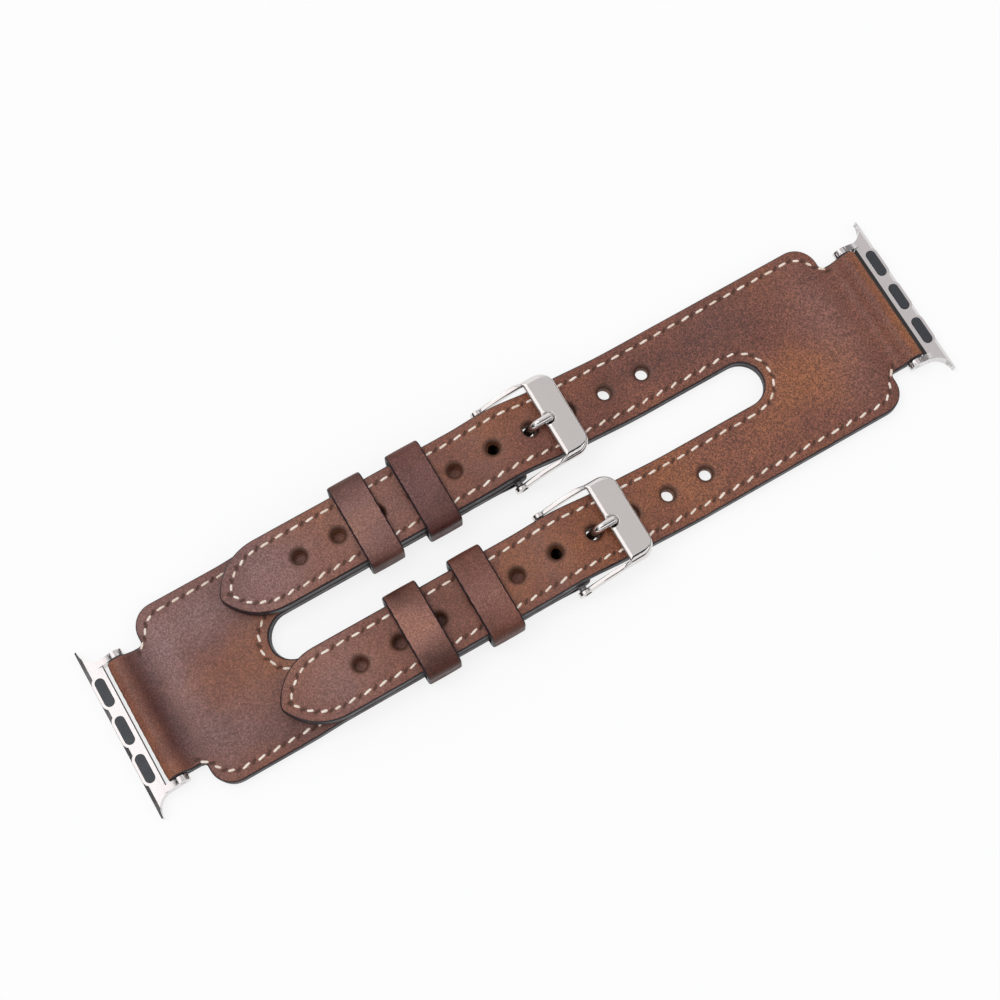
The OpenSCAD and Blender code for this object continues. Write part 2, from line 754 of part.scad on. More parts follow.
module latch_button(end) {
    l = pad_l - 2 * button_gap;
    w = pad_w - 2 * button_gap;
    color(charcoal) at_bar(end) translate([pad_x, 0, plate_t + button_proud - button_h])
        linear_extrude(button_h) slot_shape(l, w);
}

// Arched leaf between the pocket's floor and the button
module latch_spring(end) {
    arch_h = plate_t + button_proud - button_h - pocket_z - fit_gap;
    half = pad_l / 2 - pad_w / 2;
    r = (half * half + pow(arch_h - leaf_t, 2)) / (2 * (arch_h - leaf_t)) + leaf_t;
    color("gray") at_bar(end) translate([pad_x - leaf_w / 2, 0, pocket_z]) rotate([90, 0, 90])
        linear_extrude(leaf_w) intersection() {
            translate([0, arch_h - r]) difference() {
                circle(r, $fn = 128);
                circle(r - leaf_t, $fn = 128);
            }
            translate([-pad_l / 2 + layer_gap + button_gap, 0])
                square([pad_l - 2 * (layer_gap + button_gap), arch_h + cut]);
        }
}

module at_bar_axis(end) {
    translate([end * right_bar_x, 0, bar_z]) children();
}

buckle_half_outer();
buckle_half_lining();
tongue_half_outer();
tongue_half_lining();
fixed_keeper(1);  // upper_fixed_keeper
fixed_keeper(-1);  // lower_fixed_keeper
sliding_keeper(upper_slider_from, 1);  // upper_sliding_keeper
sliding_keeper(lower_slider_from, -1);  // lower_sliding_keeper
buckle_frame(1);  // upper_buckle_frame
buckle_frame(-1);  // lower_buckle_frame
prong(1);  // upper_prong
prong(-1);  // lower_prong
at_pin(1) bar_tube(pin_tube_l);  // upper_pin_tube
at_pin(-1) bar_tube(pin_tube_l);  // lower_pin_tube
at_pin(1) bar_spring(pin_tube_l);  // upper_pin_spring
at_pin(-1) bar_spring(pin_tube_l);  // lower_pin_spring
at_pin(1) bar_tip(pin_tube_l, buckle_w / 2);  // upper_pin_outer_tip
at_pin(1) mirror([0, 1, 0]) bar_tip(pin_tube_l, buckle_w / 2);  // upper_pin_inner_tip
at_pin(-1) mirror([0, 1, 0]) bar_tip(pin_tube_l, buckle_w / 2);  // lower_pin_outer_tip
at_pin(-1) bar_tip(pin_tube_l, buckle_w / 2);  // lower_pin_inner_tip
adapter(-1);  // buckle_end_adapter
adapter(1);  // tongue_end_adapter
latch_button(-1);  // buckle_end_latch_button
latch_button(1);  // tongue_end_latch_button
latch_spring(-1);  // buckle_end_latch_spring
latch_spring(1);  // tongue_end_latch_spring
side_pads(-1);  // buckle_end_side_pads
side_pads(1);  // tongue_end_side_pads
at_bar_axis(-1) bar_tube(bar_tube_l);  // buckle_end_bar_tube
at_bar_axis(1) bar_tube(bar_tube_l);  // tongue_end_bar_tube
at_bar_axis(-1) bar_spring(bar_tube_l);  // buckle_end_bar_spring
at_bar_axis(1) bar_spring(bar_tube_l);  // tongue_end_bar_spring
at_bar_axis(-1) bar_tip(bar_tube_l, ear_out_y);  // buckle_end_bar_upper_tip
at_bar_axis(-1) mirror([0, 1, 0]) bar_tip(bar_tube_l, ear_out_y);  // buckle_end_bar_lower_tip
at_bar_axis(1) bar_tip(bar_tube_l, ear_out_y);  // tongue_end_bar_upper_tip
at_bar_axis(1) mirror([0, 1, 0]) bar_tip(bar_tube_l, ear_out_y);  // tongue_end_bar_lower_tip
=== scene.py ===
"""Looks of the twin strap leather watch band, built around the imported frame.

Shapes are worked out in millimetres in the frame's axes and become metres when a mesh is made.
"""
import math

import bpy
import numpy as np
from mathutils import Matrix, Vector
from mathutils.bvhtree import BVHTree
from mathutils.geometry import delaunay_2d_cdt


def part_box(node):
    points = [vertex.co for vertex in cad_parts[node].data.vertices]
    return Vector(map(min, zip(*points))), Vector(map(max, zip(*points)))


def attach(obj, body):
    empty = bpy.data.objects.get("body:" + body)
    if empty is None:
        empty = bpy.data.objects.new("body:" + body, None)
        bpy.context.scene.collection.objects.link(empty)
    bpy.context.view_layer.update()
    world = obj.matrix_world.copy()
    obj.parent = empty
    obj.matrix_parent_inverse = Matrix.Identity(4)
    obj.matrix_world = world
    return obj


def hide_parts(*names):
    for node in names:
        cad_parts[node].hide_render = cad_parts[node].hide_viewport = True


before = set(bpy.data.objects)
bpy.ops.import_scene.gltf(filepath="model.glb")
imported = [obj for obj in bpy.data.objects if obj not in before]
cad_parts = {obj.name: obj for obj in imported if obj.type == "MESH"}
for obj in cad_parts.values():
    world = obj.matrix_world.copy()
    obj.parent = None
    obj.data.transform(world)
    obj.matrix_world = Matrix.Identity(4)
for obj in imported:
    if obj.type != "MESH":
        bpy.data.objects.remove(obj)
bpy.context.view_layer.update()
MM = 0.001
rng = np.random.default_rng(7)


# Sizes read from the frame

def box_mm(node):
    low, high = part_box(node)
    return np.array(low) / MM, np.array(high) / MM


def middle(node):
    low, high = box_mm(node)
    return (low + high) / 2


def extent(node):
    low, high = box_mm(node)
    return high - low


NECK_END_X = box_mm("buckle_half_outer")[0][0]
BAND_W = extent("buckle_half_outer")[1]
LEFT_BAR = middle("buckle_end_bar_tube")
RIGHT_BAR = middle("tongue_end_bar_tube")
PIN = middle("upper_pin_tube")
STRAP_Y = PIN[1]
STRAP_W = BAND_W - 2 * STRAP_Y
SLOT_W = BAND_W - 2 * STRAP_W
LOOP_R = LEFT_BAR[0] - NECK_END_X
TIP_X = box_mm("tongue_half_outer")[0][0]

# Sizes of the CAD leather that its boxes don't show
OUTER_T = 1.4
FOLD_T = 1.3
LINING_T = 1.1
NECK_W = 23.9
NECK_L = 5.0
FILLET_R = 0.9
CORNER_R = 4.4
BAR_TAIL = 4.6
PIN_TAIL = 10.3
BUCKLE_SLOT_X = LEFT_BAR[0] + 24.5
TONGUE_SLOT_X = RIGHT_BAR[0] - 25.8
TIP_L = 10.0
TIP_NOSE_R = 1.8
HOLE_R = 1.15
HOLE_RIM_R = 1.9
HOLE_RIM_D = 0.4
HOLE_PITCH = 7.9
USED_HOLE_X = PIN[0] + 6.5
# How far the used hole reaches to -X and +X in the outer skin, at the seam and underneath
USED_HOLE_ENDS = ((1.15, 1.6), (1.5, 1.3), (2.1, 1.15))
HOLE_XS = [USED_HOLE_X + HOLE_PITCH * k for k in range(-6, 4)]
PRONG_SLOT_W = 2.8
PRONG_SLOT_X = PIN[0] - 1.45
KEEPER_T = 1.1
KEEPER_EDGE_R = 2.2
# From the leather to an adapter's plate
PLATE_GAP = 0.7

# The skin's length in the fold round a bar, and both ends of each half's outer skin
HALF_TURN = math.pi * LOOP_R
BUCKLE_ENDS = (LEFT_BAR[0] - HALF_TURN - BAR_TAIL, PIN[0] + HALF_TURN + PIN_TAIL)
TONGUE_ENDS = (TIP_X - 1, RIGHT_BAR[0] + HALF_TURN + BAR_TAIL)

# A pointed tip: two large arcs that would meet at its point, and a nose in place of the point
HALF_STRAP = STRAP_W / 2
TIP_R = (TIP_L ** 2 + HALF_STRAP ** 2) / (2 * HALF_STRAP)
NOSE_IN = TIP_L - math.sqrt((TIP_R - TIP_NOSE_R) ** 2 - (TIP_R - HALF_STRAP) ** 2)
NOSE_JOIN = math.degrees(math.atan2(TIP_R - HALF_STRAP, NOSE_IN - TIP_L))
POINT_X = TIP_X - NOSE_IN + TIP_NOSE_R
SHOULDER_X = POINT_X + TIP_L

# Buckle frame and prong, from their pin, as the CAD builds them
BUCKLE_W = extent("upper_buckle_frame")[1]
FRAME_T = 1.6
FRAME_REACH = 12.05
FRAME_RISE = 3.3
FRAME_R = (FRAME_REACH ** 2 + FRAME_RISE ** 2) / (2 * FRAME_RISE)
FRAME_X0 = FRAME_REACH - 2.7
FRAME_X1 = FRAME_REACH + 2.7
FRONT_CORNER_R = 3.0
FRAME_END_R = 1.5
FRAME_BEVEL = 0.5
FRAME_SOFT = 0.12
ARM_W = 0.9
FRAME_EYE_R = 1.25
EYE_BORE_R = 0.45
INNER_BEVEL_W, INNER_BEVEL_D = 0.8, 0.4
HOLLOW_R, HOLLOW_L, HOLLOW_D = 5.0, 1.5, 0.5
SEAT_R, SEAT_L, SEAT_D = 1.4, 2.2, 0.8
PRONG_R = 0.8
PRONG_START = (0.6, 0.25)
PRONG_KNEE = (5.2, 0.55)
PRONG_BEND_X = 7.6
PRONG_BEND_R = 1.1
PRONG_END = 1.9
PRONG_EYE_W = 2.4
PRONG_SIDES, EYE_SIDES = 32, 48
PIN_BORE_R = extent("upper_pin_tube")[2] / 2 + 0.05

# Leather edges: roundings of the outer skin, the lining's underside and the joint between them
SKIN_EDGE_R = 0.45
LINING_EDGE_R = 0.3
JOINT_EDGE_R = 0.08
# How the edge paint fades from the outline
PAINT_FADE = (0.12, 0.42)
# Mesh points: their spacing in faces with stitches and without, how far inside the outline they
# begin, the rings and rows that follow the outline and the seams, and the least spacing
OUTER_SPACING = 0.9
LINING_SPACING = 1.3
PLAIN_SPACING = 2.2
GRID_IN = 0.9
EDGE_RINGS = (0.75, 1.15)
SEAM_ROWS = (-0.55, -0.25, 0, 0.25, 0.55)
SHEET_CELL = 0.13
FRAME_CELL = 0.06

# Steps along a path and the width of the blur that smooths it
PATH_STEP = 0.1
PATH_BLUR = 0.35
# Where a straight ray down meets the leather without meeting a hole
PROBE_Y = STRAP_Y - 4

# Stitching
STITCH_IN = 1.85
STITCH_PITCH = 3.0
CORNER_PITCH = 2.6
SEAM_STEP = 0.5
SEAM_END_X = PIN[0] - 2.5
THREAD_R = 0.24
THREAD_DIVE = 0.35
UPPER_GROOVE = 0.09
LOWER_GROOVE = 0.26
UPPER_SINK = 0.1
LOWER_SINK = 0.27
THREAD_GAP = 1.05
STITCH_SLANT = math.radians(10)
SLANT_CHANGE = math.radians(6)
SLANT_SPREAD = math.radians(3)
AWL_SLANT = math.radians(38)
AWL_L = 0.6
AWL_W = 0.22


# Small helpers

def directions(angles):
    """Unit vectors at angles in radians."""
    return np.column_stack([np.cos(angles), np.sin(angles)])


def unit(vectors):
    return vectors / np.linalg.norm(vectors, axis=1)[:, None]


def left_of(vectors):
    return np.column_stack([-vectors[:, 1], vectors[:, 0]])


def blur_step(x, low, high):
    t = np.clip((x - low) / (high - low), 0, 1)
    return t * t * (3 - 2 * t)


def bell(distance, width):
    return np.exp(-(distance / width) ** 2)


def bumps(points, scale, seed):
    """Soft random waviness between -1 and 1, from a few crossed waves."""
    waves = np.random.default_rng(seed)
    total = np.zeros(len(points))
    for _ in range(7):
        turn = waves.uniform(0, math.pi)
        size = scale * waves.uniform(0.7, 1.6)
        along = points[:, 0] * math.cos(turn) + points[:, 1] * math.sin(turn)
        total += np.sin(along * 2 * math.pi / size + waves.uniform(0, 6.3))
    return total / 7


def linked(name, data):
    """A new object in the scene, with its mesh, lamp or camera."""
    obj = bpy.data.objects.new(name, data)
    bpy.context.scene.collection.objects.link(obj)
    return obj


def new_object(name, vertices, faces, attributes=()):
    mesh = bpy.data.meshes.new(name)
    mesh.from_pydata((np.asarray(vertices) * MM).tolist(), [], faces)
    mesh.validate()
    for label, values in attributes:
        data = mesh.attributes.new(label, "FLOAT", "POINT").data
        data.foreach_set("value", np.asarray(values, np.float32))
    mesh.polygons.foreach_set("use_smooth", [True] * len(mesh.polygons))
    return linked(name, mesh)


def wrapped(rings, sides, start=0, ends_meet=False):
    """Quads between rings of points that follow each other from vertex start on."""
    return [tuple(start + (k + dk) % rings * sides + (j + dj) % sides
                  for dk, dj in ((0, 0), (0, 1), (1, 1), (1, 0)))
            for k in range(rings if ends_meet else rings - 1) for j in range(sides)]


def dress(obj, material, slot_name, body, *nodes):
    obj.data.materials.clear()
    obj.data.materials.append(material)
    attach(obj, body)
    if nodes:
        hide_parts(*nodes)


# Paths: the outer skin of a half from one end to the other, in X and Z

def skin_z(node, xs, upper):
    """Height of a CAD solid's upper or lower skin along xs."""
    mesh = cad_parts[node].data
    tree = BVHTree.FromPolygons([v.co for v in mesh.vertices], [p.vertices for p in mesh.polygons])
    start, way = (1.0, Vector((0, 0, -1))) if upper else (-1.0, Vector((0, 0, 1)))
    hits = [tree.ray_cast(Vector((x * MM, PROBE_Y * MM, start)), way)[0] for x in xs]
    return np.array([h.z / MM for h in hits])


def smooth(values):
    """Values along a path blurred by a bell curve, with their ends carried on."""
    reach = int(4 * PATH_BLUR / PATH_STEP)
    weights = np.exp(-0.5 * (np.arange(-reach, reach + 1) * PATH_STEP / PATH_BLUR) ** 2)
    head = 2 * values[0] - values[reach:0:-1]
    tail = 2 * values[-1] - values[-2:-reach - 2:-1]
    return np.convolve(np.concatenate([head, values, tail]), weights / weights.sum(), "valid")


class Path:
    """A skin line: e is X where the leather lies open, and carries on along each fold."""

    def __init__(self, e_min, e_max, place):
        self.e = np.arange(e_min, e_max + PATH_STEP, PATH_STEP)
        self.x, self.z = map(smooth, place(self.e).T)
        dx, dz = np.gradient(self.x), np.gradient(self.z)
        size = np.hypot(dx, dz)
        self.nx, self.nz = -dz / size, dx / size

    def solid(self, e, y, depth):
        """Points at depth under the skin, none of them under the floor."""
        x, z, nx, nz = (np.interp(e, self.e, v) for v in (self.x, self.z, self.nx, self.nz))
        return np.column_stack([x - nx * depth, y, np.maximum(z - nz * depth, 0)])


def lay_fold(out, e, bar, side):
    """Places the fold round a bar and the tail behind it, and tells which e are the tail."""
    q = side * (e - bar[0])
    fold = (q >= 0) & (q <= HALF_TURN)
    out[fold] = directions(math.pi / 2 - side * q[fold] / LOOP_R) * LOOP_R + bar[[0, 2]]
    tail = q > HALF_TURN
    out[tail, 0] = bar[0] - side * (q[tail] - HALF_TURN)
    out[tail, 1] = bar[2] - LOOP_R
    return tail


def buckle_place(e):
    out = np.zeros((len(e), 2))
    lay_fold(out, e, LEFT_BAR, -1)
    tail = lay_fold(out, e, PIN, 1)
    inside = np.clip(out[tail, 0], PIN[0] - PIN_TAIL + 0.02, PIN[0] - 0.6)
    out[tail, 1] = skin_z("buckle_half_outer", inside, False)
    flat = (e > LEFT_BAR[0]) & (e < PIN[0])
    out[flat] = np.column_stack([e[flat], skin_z("buckle_half_outer", e[flat], True)])
    return out


def tongue_place(e):
    out = np.zeros((len(e), 2))
    lay_fold(out, e, RIGHT_BAR, 1)
    flat = e < RIGHT_BAR[0]
    behind_point = np.maximum(e[flat], TIP_X + TIP_L)
    out[flat] = np.column_stack([e[flat], skin_z("tongue_half_outer", behind_point, True)])
    return out


# Outlines in e and Y, with the leather on their left

def arc(cx, cy, r, start, end, step=9):
    """Points of an arc from start to end, in degrees."""
    count = max(2, math.ceil(abs(end - start) / step))
    return [cx, cy] + r * directions(np.radians(np.linspace(start, end, count + 1)))


def divided(loop, longest=1.0):
    """A closed outline whose long edges are cut into short ones."""
    out = []
    for a, b in zip(loop, np.roll(loop, -1, axis=0)):
        length = np.linalg.norm(b - a)
        if length < 1e-6:
            continue
        pieces = max(1, math.ceil(length / longest))
        out += [a + (b - a) * k / pieces for k in range(pieces)]
    return np.array(out)


def both_sides(upper):
    """Closes an outline that is the same above and below Y = 0."""
    lower = upper[::-1] * [1, -1]
    return divided(np.vstack([upper, lower]))


def buckle_outline(e_min, e_max):
    neck = LEFT_BAR[0] + NECK_L
    return both_sides(np.vstack([
        [[e_min, NECK_W / 2]],
        arc(neck - FILLET_R, NECK_W / 2 + FILLET_R, FILLET_R, -90, 0, 15),
        arc(neck + CORNER_R, BAND_W / 2 - CORNER_R, CORNER_R, 180, 90),
        [[e_max, BAND_W / 2], [e_max, SLOT_W / 2]],
        arc(BUCKLE_SLOT_X + SLOT_W / 2, 0, SLOT_W / 2, 90, 180)]))[::-1]


def tongue_outline(e_max):
    neck = RIGHT_BAR[0] - NECK_L
    return both_sides(np.vstack([
        [[e_max, NECK_W / 2]],
        arc(neck + FILLET_R, NECK_W / 2 + FILLET_R, FILLET_R, -90, -180, 15),
        arc(neck - CORNER_R, BAND_W / 2 - CORNER_R, CORNER_R, 0, 90),
        arc(SHOULDER_X, STRAP_Y + HALF_STRAP - TIP_R, TIP_R, 90, NOSE_JOIN, 6),
        arc(POINT_X + NOSE_IN, STRAP_Y, TIP_NOSE_R, NOSE_JOIN, 360 - NOSE_JOIN, 15),
        arc(SHOULDER_X, STRAP_Y - HALF_STRAP + TIP_R, TIP_R, 360 - NOSE_JOIN, 270, 6),
        arc(TONGUE_SLOT_X - SLOT_W / 2, 0, SLOT_W / 2, 90, 0)]))


def slot_loop(x0, x1, y, width, pieces):
    """A hole with round ends and sides of so many pieces, with the leather on its left."""
    r = width / 2
    sides = np.linspace(x1 - r, x0 + r, pieces + 1)[1:-1]
    return np.vstack([
        arc(x1 - r, y, r, 90, -90, 18), np.column_stack([sides, 0 * sides + y - r]),
        arc(x0 + r, y, r, -90, -270, 18), np.column_stack([sides[::-1], 0 * sides + y + r])])


def prong_slots():
    """The slots for the prongs, which run round the fold at each pin."""
    fold_middle = PIN[0] + HALF_TURN / 2
    reach = fold_middle - PRONG_SLOT_X + PRONG_SLOT_W / 2
    return [slot_loop(fold_middle - reach, fold_middle + reach, y, PRONG_SLOT_W, 12)
            for y in (STRAP_Y, -STRAP_Y)]


def punched_holes():
    """The holes of the tongue straps in the outer skin, between the layers and underneath."""
    levels = [], [], []
    for y in (STRAP_Y, -STRAP_Y):
        for x in HOLE_XS:
            used = abs(x - USED_HOLE_X) < 0.1
            ends = USED_HOLE_ENDS if used else ((HOLE_R, HOLE_R),) * 3
            for level, (back, ahead) in zip(levels, ends):
                level.append(slot_loop(x - back, x + ahead, y, 2 * HOLE_R - 0.002, 3))
    return levels


def inset(loop, distance):
    """The outline moved into the leather."""
    before = left_of(unit(loop - np.roll(loop, 1, axis=0)))
    after = left_of(unit(np.roll(loop, -1, axis=0) - loop))
    bisector = unit(before + after)
    stretch = 1 / np.maximum(0.5, (bisector * before).sum(axis=1))
    return loop + bisector * (distance * stretch)[:, None]


def closed(loop):
    return loop, np.roll(loop, -1, axis=0)


def opened(line):
    return line[:-1], line[1:]


def distance_to(points, lines):
    """Shortest distance from each point to the segments of open or closed lines."""
    best = np.full(len(points), 1e9)
    for a, b in lines:
        span = b - a
        size = np.maximum((span ** 2).sum(axis=1), 1e-12)
        for first in range(0, len(points), 2000):
            some = slice(first, first + 2000)
            p = points[some, None, :]
            t = np.clip(((p - a) * span).sum(axis=2) / size, 0, 1)
            gap = np.linalg.norm(p - (a + span * t[..., None]), axis=2).min(axis=1)
            best[some] = np.minimum(best[some], gap)
    return best


def within(points, loops):
    """Which points lie in the leather: inside the first outline and outside the others."""
    crossings = np.zeros(len(points), int)
    for a, b in map(closed, loops):
        rise = np.where(b[:, 1] == a[:, 1], 1, b[:, 1] - a[:, 1])
        for first in range(0, len(points), 4000):
            p = points[first:first + 4000]
            above = (a[:, 1] > p[:, 1:2]) != (b[:, 1] > p[:, 1:2])
            at = a[:, 0] + (p[:, 1:2] - a[:, 1]) * (b[:, 0] - a[:, 0]) / rise
            crossings[first:first + 4000] += (above & (p[:, 0:1] < at)).sum(axis=1)
    return crossings % 2 == 1


# Meshes that fill outlines

def grid_inside(loops, spacing, margin):
    low, high = loops[0].min(axis=0), loops[0].max(axis=0)
    rows = np.arange(low[1], high[1], spacing * 0.866)
    columns = np.arange(low[0], high[0], spacing)
    points = np.vstack([np.column_stack([columns + (k % 2) * spacing / 2, np.full(len(columns), y)])
                        for k, y in enumerate(rows)])
    points = points[within(points, loops)]
    return points[distance_to(points, map(closed, loops)) > margin]


def thinned(points, loops, cell):
    """The points that lie in the leather, no more than one in each cell of a grid."""
    points = points[within(points, loops)]
    _, first = np.unique(np.round(points / cell).astype(int), axis=0, return_index=True)
    return points[np.sort(first)]


def loop_edges(loops):
    """Both ends of every edge, where the points of the loops are numbered one after another."""
    edges, start = [], 0
    for loop in loops:
        count = len(loop)
        edges += [(start + k, start + (k + 1) % count) for k in range(count)]
        start += count
    return edges


def walls(loops, top, bottom):
    """Quads between the upper and the lower rims, which begin at two vertices."""
    return [(top + b, top + a, bottom + a, bottom + b) for a, b in loop_edges(loops)]


def face_mesh(loops, radius, extra):
    """Triangles that fill the loops, with rings near the edge for its rounding.
    Returns the points, the triangles and the number of outline points, which come first."""
    angles = np.radians([22.5, 45, 67.5, 90])
    rings = [inset(loop, radius * (1 - math.cos(a))) for a in angles for loop in loops]
    rim = np.vstack(loops)
    clear = distance_to(extra, map(closed, loops)) > radius + 0.12
    points = np.vstack([rim] + rings + [extra[clear]])
    found = delaunay_2d_cdt([Vector(p) for p in points], loop_edges(loops), [], 0, 1e-5)
    placed, triangles, origins = np.array(found[0]), found[2], found[3]
    keep = within(np.array([placed[list(t)].mean(axis=0) for t in triangles]), loops)
    triangles = [t for t, k in zip(triangles, keep) if k]
    place_of = {old: new for new, olds in enumerate(origins) for old in olds}
    order = [place_of[k] for k in range(len(rim))]
    order += sorted({v for t in triangles for v in t}.difference(order))
    number = {v: k for k, v in enumerate(order)}
    return placed[order], [tuple(number[v] for v in t) for t in triangles], len(rim)


def rounding(distance, radius):
    """Depth of a rounded edge at a distance from the outline."""
    gap = np.clip(radius - distance, 0, radius)
    return radius - np.sqrt(np.maximum(radius ** 2 - gap ** 2, 0))


# Sheets of leather

def layered(first, *changes):
    """A depth along e that changes smoothly, at each place to its new value."""
    def depth(e):
        total, last = first + 0 * e, first
        for place, value in changes:
            total = total + (value - last) * blur_step(e, place - 1, place + 1)
            last = value
        return total
    return depth


def patches(*spots):
    """Lighter and darker places, each X, Y, its half sizes and its strength."""
    def tone(points):
        total = np.zeros(len(points))
        for x, y, half_x, half_y, strength in spots:
            away = np.hypot((points[:, 0] - x) / half_x, (points[:, 1] - y) / half_y)
            total += strength * bell(away, 1.0)
        return total
    return tone


# What each point of a leather mesh tells its material: how far it is painted, how dark it is from
# seams and holes (partly stained leather, partly painted shade in the thread holes and punched
# rims), how light its tone is (with painted shade in some places) and how much greyish haze it
# shows (partly the leather's waxy finish, partly painted sheen)
LOOKS = ("paint", "stain_and_shade", "tone", "bloom")


class Sheet:
    """One layer of leather under a path. Its loops, depths and radii are pairs, for the upper
    and the lower face. The upper (1) or the lower face (-1) is stitched."""

    def __init__(self, name, path, loops, depths, radii, spacing, stitched_way, seams,
                 punches=(), tone=patches(), bloom=patches()):
        self.lines = [line for line, _ in seams]
        self.slits = awl_slits([run for _, run in seams])
        self.punches = np.array(punches).reshape(-1, 2)
        vertices, faces, starts, values = [], [], [], []
        for way, face_loops, depth, radius in zip((1, -1), loops, depths, radii):
            stitched = way == stitched_way
            extra = self.extra_points(face_loops, spacing, stitched)
            points, triangles, rim = face_mesh(face_loops, radius, extra)
            edge = distance_to(points, map(closed, face_loops))
            edge[:rim] = 0
            outer_edge = distance_to(points, [closed(face_loops[0])])
            dip, dark = rounding(edge, radius), np.zeros(len(points))
            if stitched:
                more, dark = self.relief(points, edge, UPPER_GROOVE if way > 0 else LOWER_GROOVE)
                dip = dip + more
            start = sum(map(len, vertices))
            starts.append(start)
            vertices.append(path.solid(*points.T, depth(points[:, 0]) + way * dip))
            faces += [tuple(start + v for v in t[::way]) for t in triangles]
            paint = 1 - blur_step(outer_edge + 0.05 * bumps(points, 2.5, 3), *PAINT_FADE)
            values.append((paint, dark, tone(points), bloom(points)))
        faces += walls(loops[0], *starts)
        self.object = new_object(name, np.vstack(vertices), faces,
                                 zip(LOOKS, map(np.concatenate, zip(*values))))

    def extra_points(self, loops, spacing, stitched):
        """Mesh points away from the edge, more of them where stitches and holes shape the face."""
        sets = [grid_inside(loops, spacing if stitched else PLAIN_SPACING, GRID_IN)]
        sets += [inset(loop, d) for loop in loops for d in EDGE_RINGS]
        if stitched:
            sets += [beside(line, side) for line in self.lines for side in SEAM_ROWS]
            a, b = self.slits
            along = (b - a) / AWL_L
            sets += [(a + b) / 2 + along * u + left_of(along) * v
                     for v in (-0.36, -0.18, 0, 0.18, 0.36) for u in (-0.4, -0.2, 0, 0.2, 0.4)]
            for r in (HOLE_R + 0.2, HOLE_RIM_R - 0.2, HOLE_RIM_R + 0.1):
                ring = directions(np.radians(np.arange(0, 360, 20))) * r
                sets.append((self.punches[:, None, :] + ring).reshape(-1, 2))
        return thinned(np.vstack([s for s in sets if len(s)]), loops, SHEET_CELL)

    def relief(self, points, edge, groove):
        """Depth and darkness from seams, thread holes, punched rims and the hand of the leather."""
        depth = 0.07 * (1 - blur_step(edge, 0.3, 1.7)) + 0.035 * bumps(points, 9, 5)
        gap = distance_to(points, map(opened, self.lines))
        depth += groove * bell(gap, 0.45)
        dark = 0.08 * bell(gap, 0.5)
        near = distance_to(points, [self.slits])
        depth += 0.25 * (1 - blur_step(near, AWL_W / 3, AWL_W * 1.4))
        # The thread holes are painted dark: painted shade inside them
        dark += 1 - blur_step(near, AWL_W * 0.5, AWL_W * 1.5)
        if len(self.punches):
            near = distance_to(points, [(self.punches, self.punches)])
            depth += HOLE_RIM_D * (1 - blur_step(near, HOLE_R, HOLE_RIM_R))
            # Punched rims are painted darker: partly their burnt edge, partly painted shade
            dark += 0.9 * (1 - blur_step(near, HOLE_R + 0.1, HOLE_RIM_R + 0.5))
        return depth, np.clip(dark, 0, 1)


# Stitching: a seam is its line and its stitch ends

def beside(line, side):
    """An open line moved sideways."""
    return line + left_of(unit(np.gradient(line, axis=0))) * side


def even(line, pitch):
    """Points at even steps along a line, with both its ends."""
    lengths = np.concatenate([[0], np.cumsum(np.linalg.norm(np.diff(line, axis=0), axis=1))])
    count = max(1, round(lengths[-1] / pitch))
    at = np.linspace(0, lengths[-1], count + 1)
    return np.column_stack([np.interp(at, lengths, line[:, k]) for k in (0, 1)])


def seam(*bends):
    """A seam through bends or single points, with straight runs between them."""
    parts, last = [], None
    for bend in map(np.atleast_2d, bends):
        if last is not None:
            parts.append((np.array([last, bend[0]]), STITCH_PITCH))
        if len(bend) > 1:
            parts.append((bend, CORNER_PITCH))
        last = bend[-1]
    line = np.vstack([even(part, SEAM_STEP) for part, _ in parts])
    steps = [even(part, pitch) for part, pitch in parts]
    return line, np.vstack([steps[0]] + [s[1:] for s in steps[1:]])


def mirrored(line_and_run):
    return tuple(points * [1, -1] for points in line_and_run)


def between(seams, low, high):
    """The parts of the seams between two places along the band."""
    return [tuple(p[(p[:, 0] > low) & (p[:, 0] < high)] for p in points) for points in seams]


def neck_bend(bar, way):
    """A seam's start from the neck round the upper corner, where the leather runs along way."""
    neck = bar[0] + way * NECK_L
    corner = arc(neck + way * CORNER_R, BAND_W / 2 - CORNER_R, CORNER_R - STITCH_IN,
                 90 + way * 90, 90)
    return np.vstack([[[neck - way * 1.1, NECK_W / 2 - 1.0]], corner])


def buckle_seams():
    y = SLOT_W / 2 + STITCH_IN
    around = arc(BUCKLE_SLOT_X + SLOT_W / 2, 0, y, 90, 270)
    side = seam(neck_bend(LEFT_BAR, 1), [SEAM_END_X, BAND_W / 2 - STITCH_IN])
    return [seam([SEAM_END_X, y], around, [SEAM_END_X, -y]), side, mirrored(side)]


def tongue_seams():
    r = TIP_R - STITCH_IN
    point = math.degrees(math.acos((TIP_R - HALF_STRAP) / r))
    outer = arc(SHOULDER_X, STRAP_Y + HALF_STRAP - TIP_R, r, 90, 90 + point, 6)
    inner = arc(SHOULDER_X, STRAP_Y - HALF_STRAP + TIP_R, r, 270, 270 - point, 6)
    side = seam(neck_bend(RIGHT_BAR, -1), outer)
    around = arc(TONGUE_SLOT_X - SLOT_W / 2, 0, SLOT_W / 2 + STITCH_IN, 90, -90)
    return [side, mirrored(side), seam(inner[::-1], around, inner * [1, -1])]


def stitch_slant(y):
    """Slant of a stitch: less along the upper edge of a strap than along the lower."""
    place = np.clip((y - math.copysign(STRAP_Y, y)) / 5, -1, 1)
    return STITCH_SLANT - SLANT_CHANGE * place


def awl_slits(runs):
    """Both ends of the slanted slit at every stitch end."""
    halves = []
    for run in runs:
        way = np.gradient(run, axis=0)
        halves.append(directions(np.arctan2(way[:, 1], way[:, 0]) + AWL_SLANT) * AWL_L / 2)
    return np.vstack(runs) - np.vstack(halves), np.vstack(runs) + np.vstack(halves)


